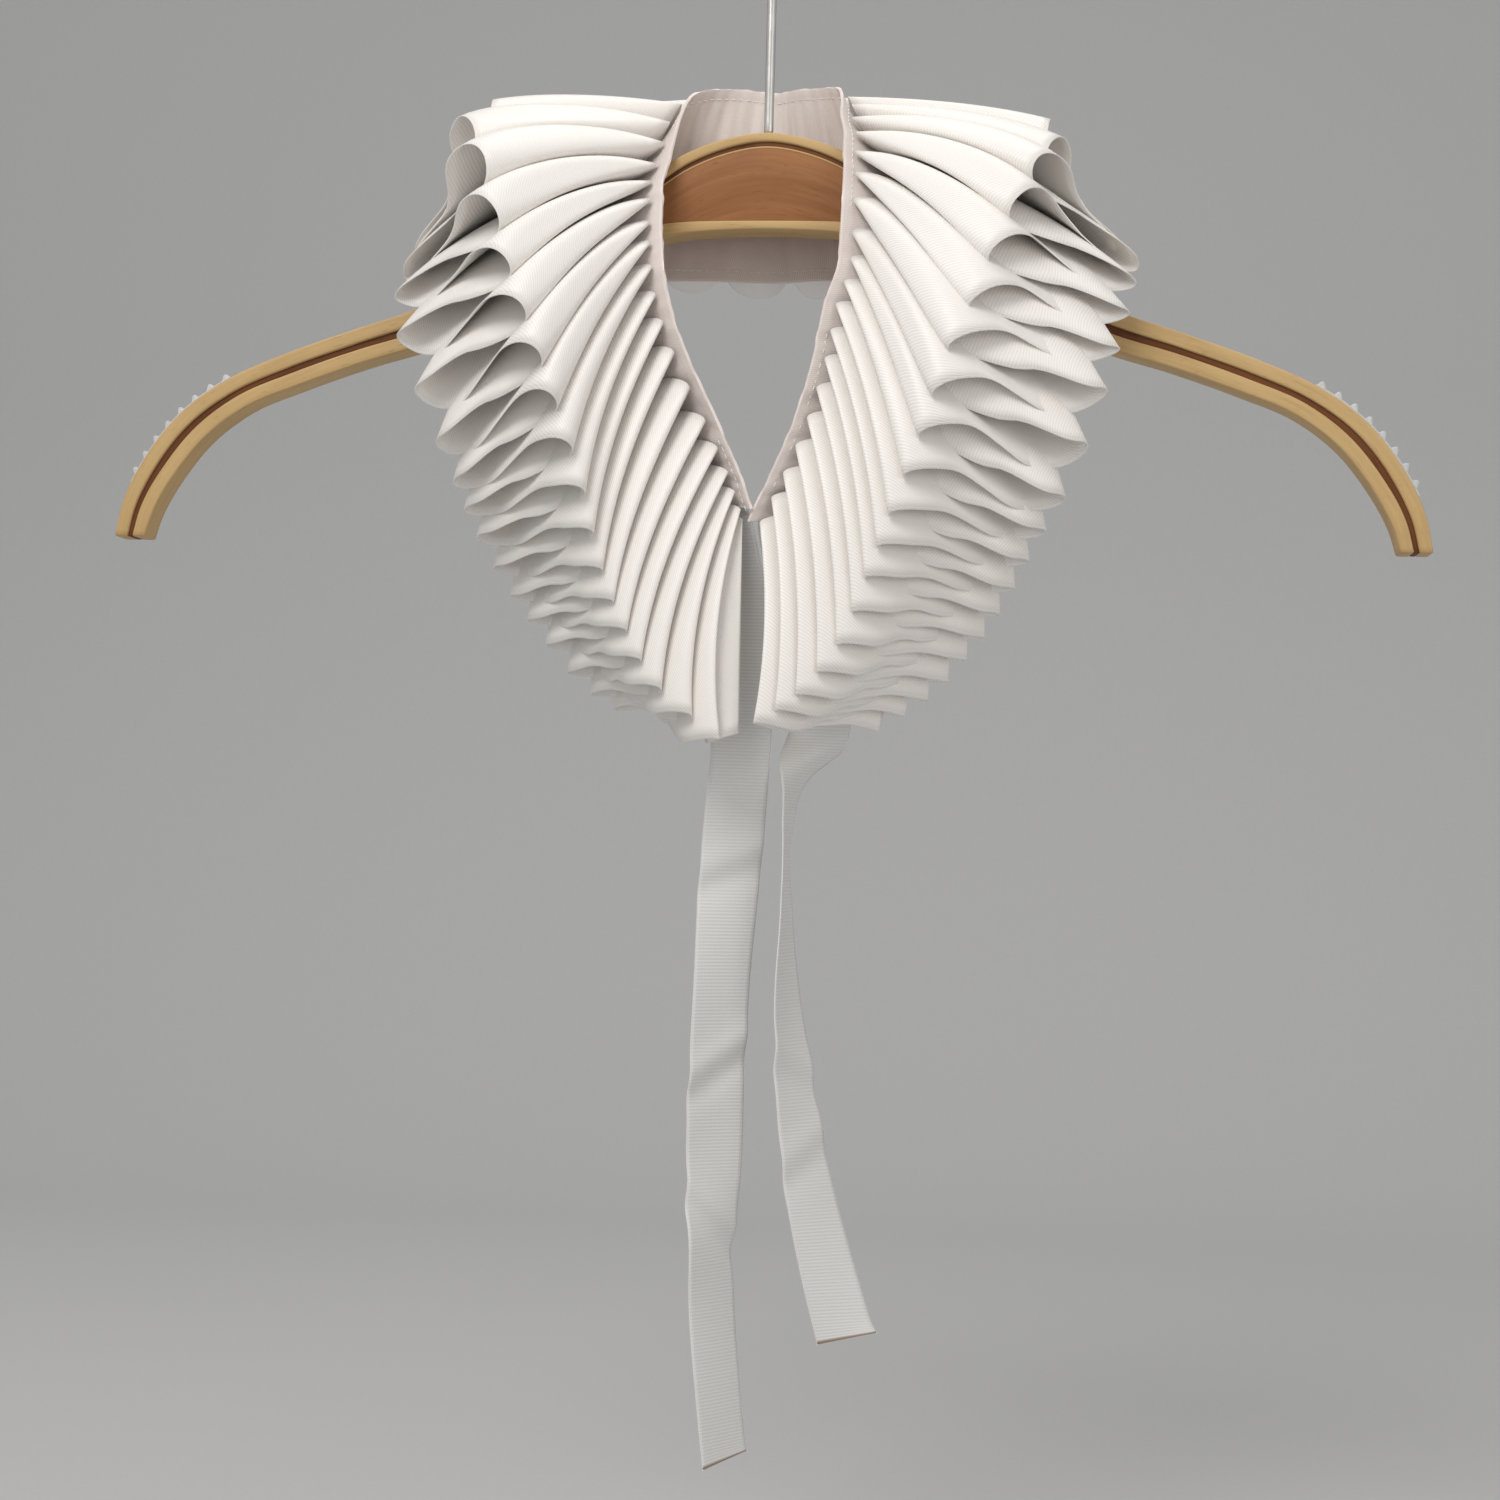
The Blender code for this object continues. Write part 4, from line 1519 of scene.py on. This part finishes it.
@dataclass
class Studio:
    """The pale floor and backdrop, the soft lights and the camera."""

    floor: float = -0.60
    far: float = 1.6
    near: float = -2.6
    half: float = 3.2
    bend: float = 0.7
    tall: float = 2.4
    place: Triple = (0.0888, -0.8546, -0.3362)
    yaw: float = 6.0
    pitch: float = 2.0
    roll: float = 1.45
    lens: float = 61.92
    middle: Triple = (0.0, 0.0, -0.22)
    lamps: tuple[Lamp, ...] = (
        Lamp("key", (-0.45, -1.0, 0.85), 0.8, 12.2, (1.0, 0.98, 0.955)),
        Lamp("fill", (1.1, -1.1, 0.0), 1.0, 3.5, (1.0, 0.95, 0.91)),
        Lamp("top", (0.1, 0.45, 1.0), 0.8, 3.5, (1.0, 0.98, 0.95)),
    )
    world: tuple[float, ...] = (0.97, 0.97, 0.96, 1.0)
    world_strength: float = 0.55

    def paper(self) -> None:
        """One sheet of paper that runs from the floor up behind the object."""
        profile = [(self.near, self.floor), (self.far - self.bend, self.floor)]
        for angle in np.linspace(0, math.pi / 2, 25)[1:]:
            short, up = 1 - math.sin(angle), 1 - math.cos(angle)
            profile.append((self.far - self.bend * short, self.floor + self.bend * up))
        profile.append((self.far, self.floor + self.tall))
        points = np.array([[(x, y, z) for x in (-self.half, self.half)] for y, z in profile])
        mesh = mesh_of("paper", points, [face[::-1] for face in grid_faces(len(profile), 2)])
        mesh.materials.append(PAPER.material())
        paper = added("paper", mesh)

    def light(self, lamp: Lamp) -> None:
        """Sets up one light so that it faces the object's middle.

        Args:
            lamp: The light's place, size, power and colour.
        """
        data = bpy.data.lights.new(lamp.name, "AREA")
        data.size = lamp.size
        data.energy = lamp.power
        data.color = lamp.colour
        holder = added(lamp.name, data)
        holder.location = lamp.place
        facing = Vector(self.middle) - Vector(lamp.place)
        holder.rotation_euler = facing.to_track_quat("-Z", "Y").to_euler()

    def camera(self) -> None:
        """The camera at the photograph's angle."""
        yaw, pitch, roll = (math.radians(a) for a in (self.yaw, self.pitch, self.roll))
        forward = Vector((-math.sin(yaw) * math.cos(pitch), math.cos(yaw) * math.cos(pitch), math.sin(pitch)))
        right = forward.cross(Vector((0, 0, 1))).normalized()
        up = right.cross(forward)
        across = right * math.cos(roll) + up * math.sin(roll)
        upward = across.cross(forward)
        lens = bpy.data.cameras.new("camera")
        lens.lens = self.lens
        lens.sensor_width = 36.0
        lens.dof.use_dof = False
        camera = added("camera", lens)
        axes = Matrix((across, upward, -forward)).transposed()
        camera.matrix_world = Matrix.Translation(self.place) @ axes.to_4x4()
        bpy.context.scene.camera = camera

    def build(self) -> None:
        """Sets the stage."""
        self.paper()
        self.camera()
        for lamp in self.lamps:
            self.light(lamp)
        world = bpy.data.worlds.new("studio")
        world.use_nodes = True
        background = world.node_tree.nodes["Background"]
        background.inputs["Color"].default_value = self.world
        background.inputs["Strength"].default_value = self.world_strength
        bpy.context.scene.world = world
        bpy.context.scene.view_settings.view_transform = "Standard"


def main() -> None:
    """Builds the collar, the hanger and the studio."""
    logging.basicConfig(level=logging.INFO, format="%(message)s")
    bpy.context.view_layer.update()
    Studio().build()
    Hanger().build()
    lines = CollarLines()
    Neckband(lines).build()
    Ruffle(lines).build()
    Tie(Side.LEFT, TIE_LEFT, CREASES_LEFT).build()
    Tie(Side.RIGHT, TIE_RIGHT, CREASES_RIGHT).build()


if __name__ == "__main__":
    main()
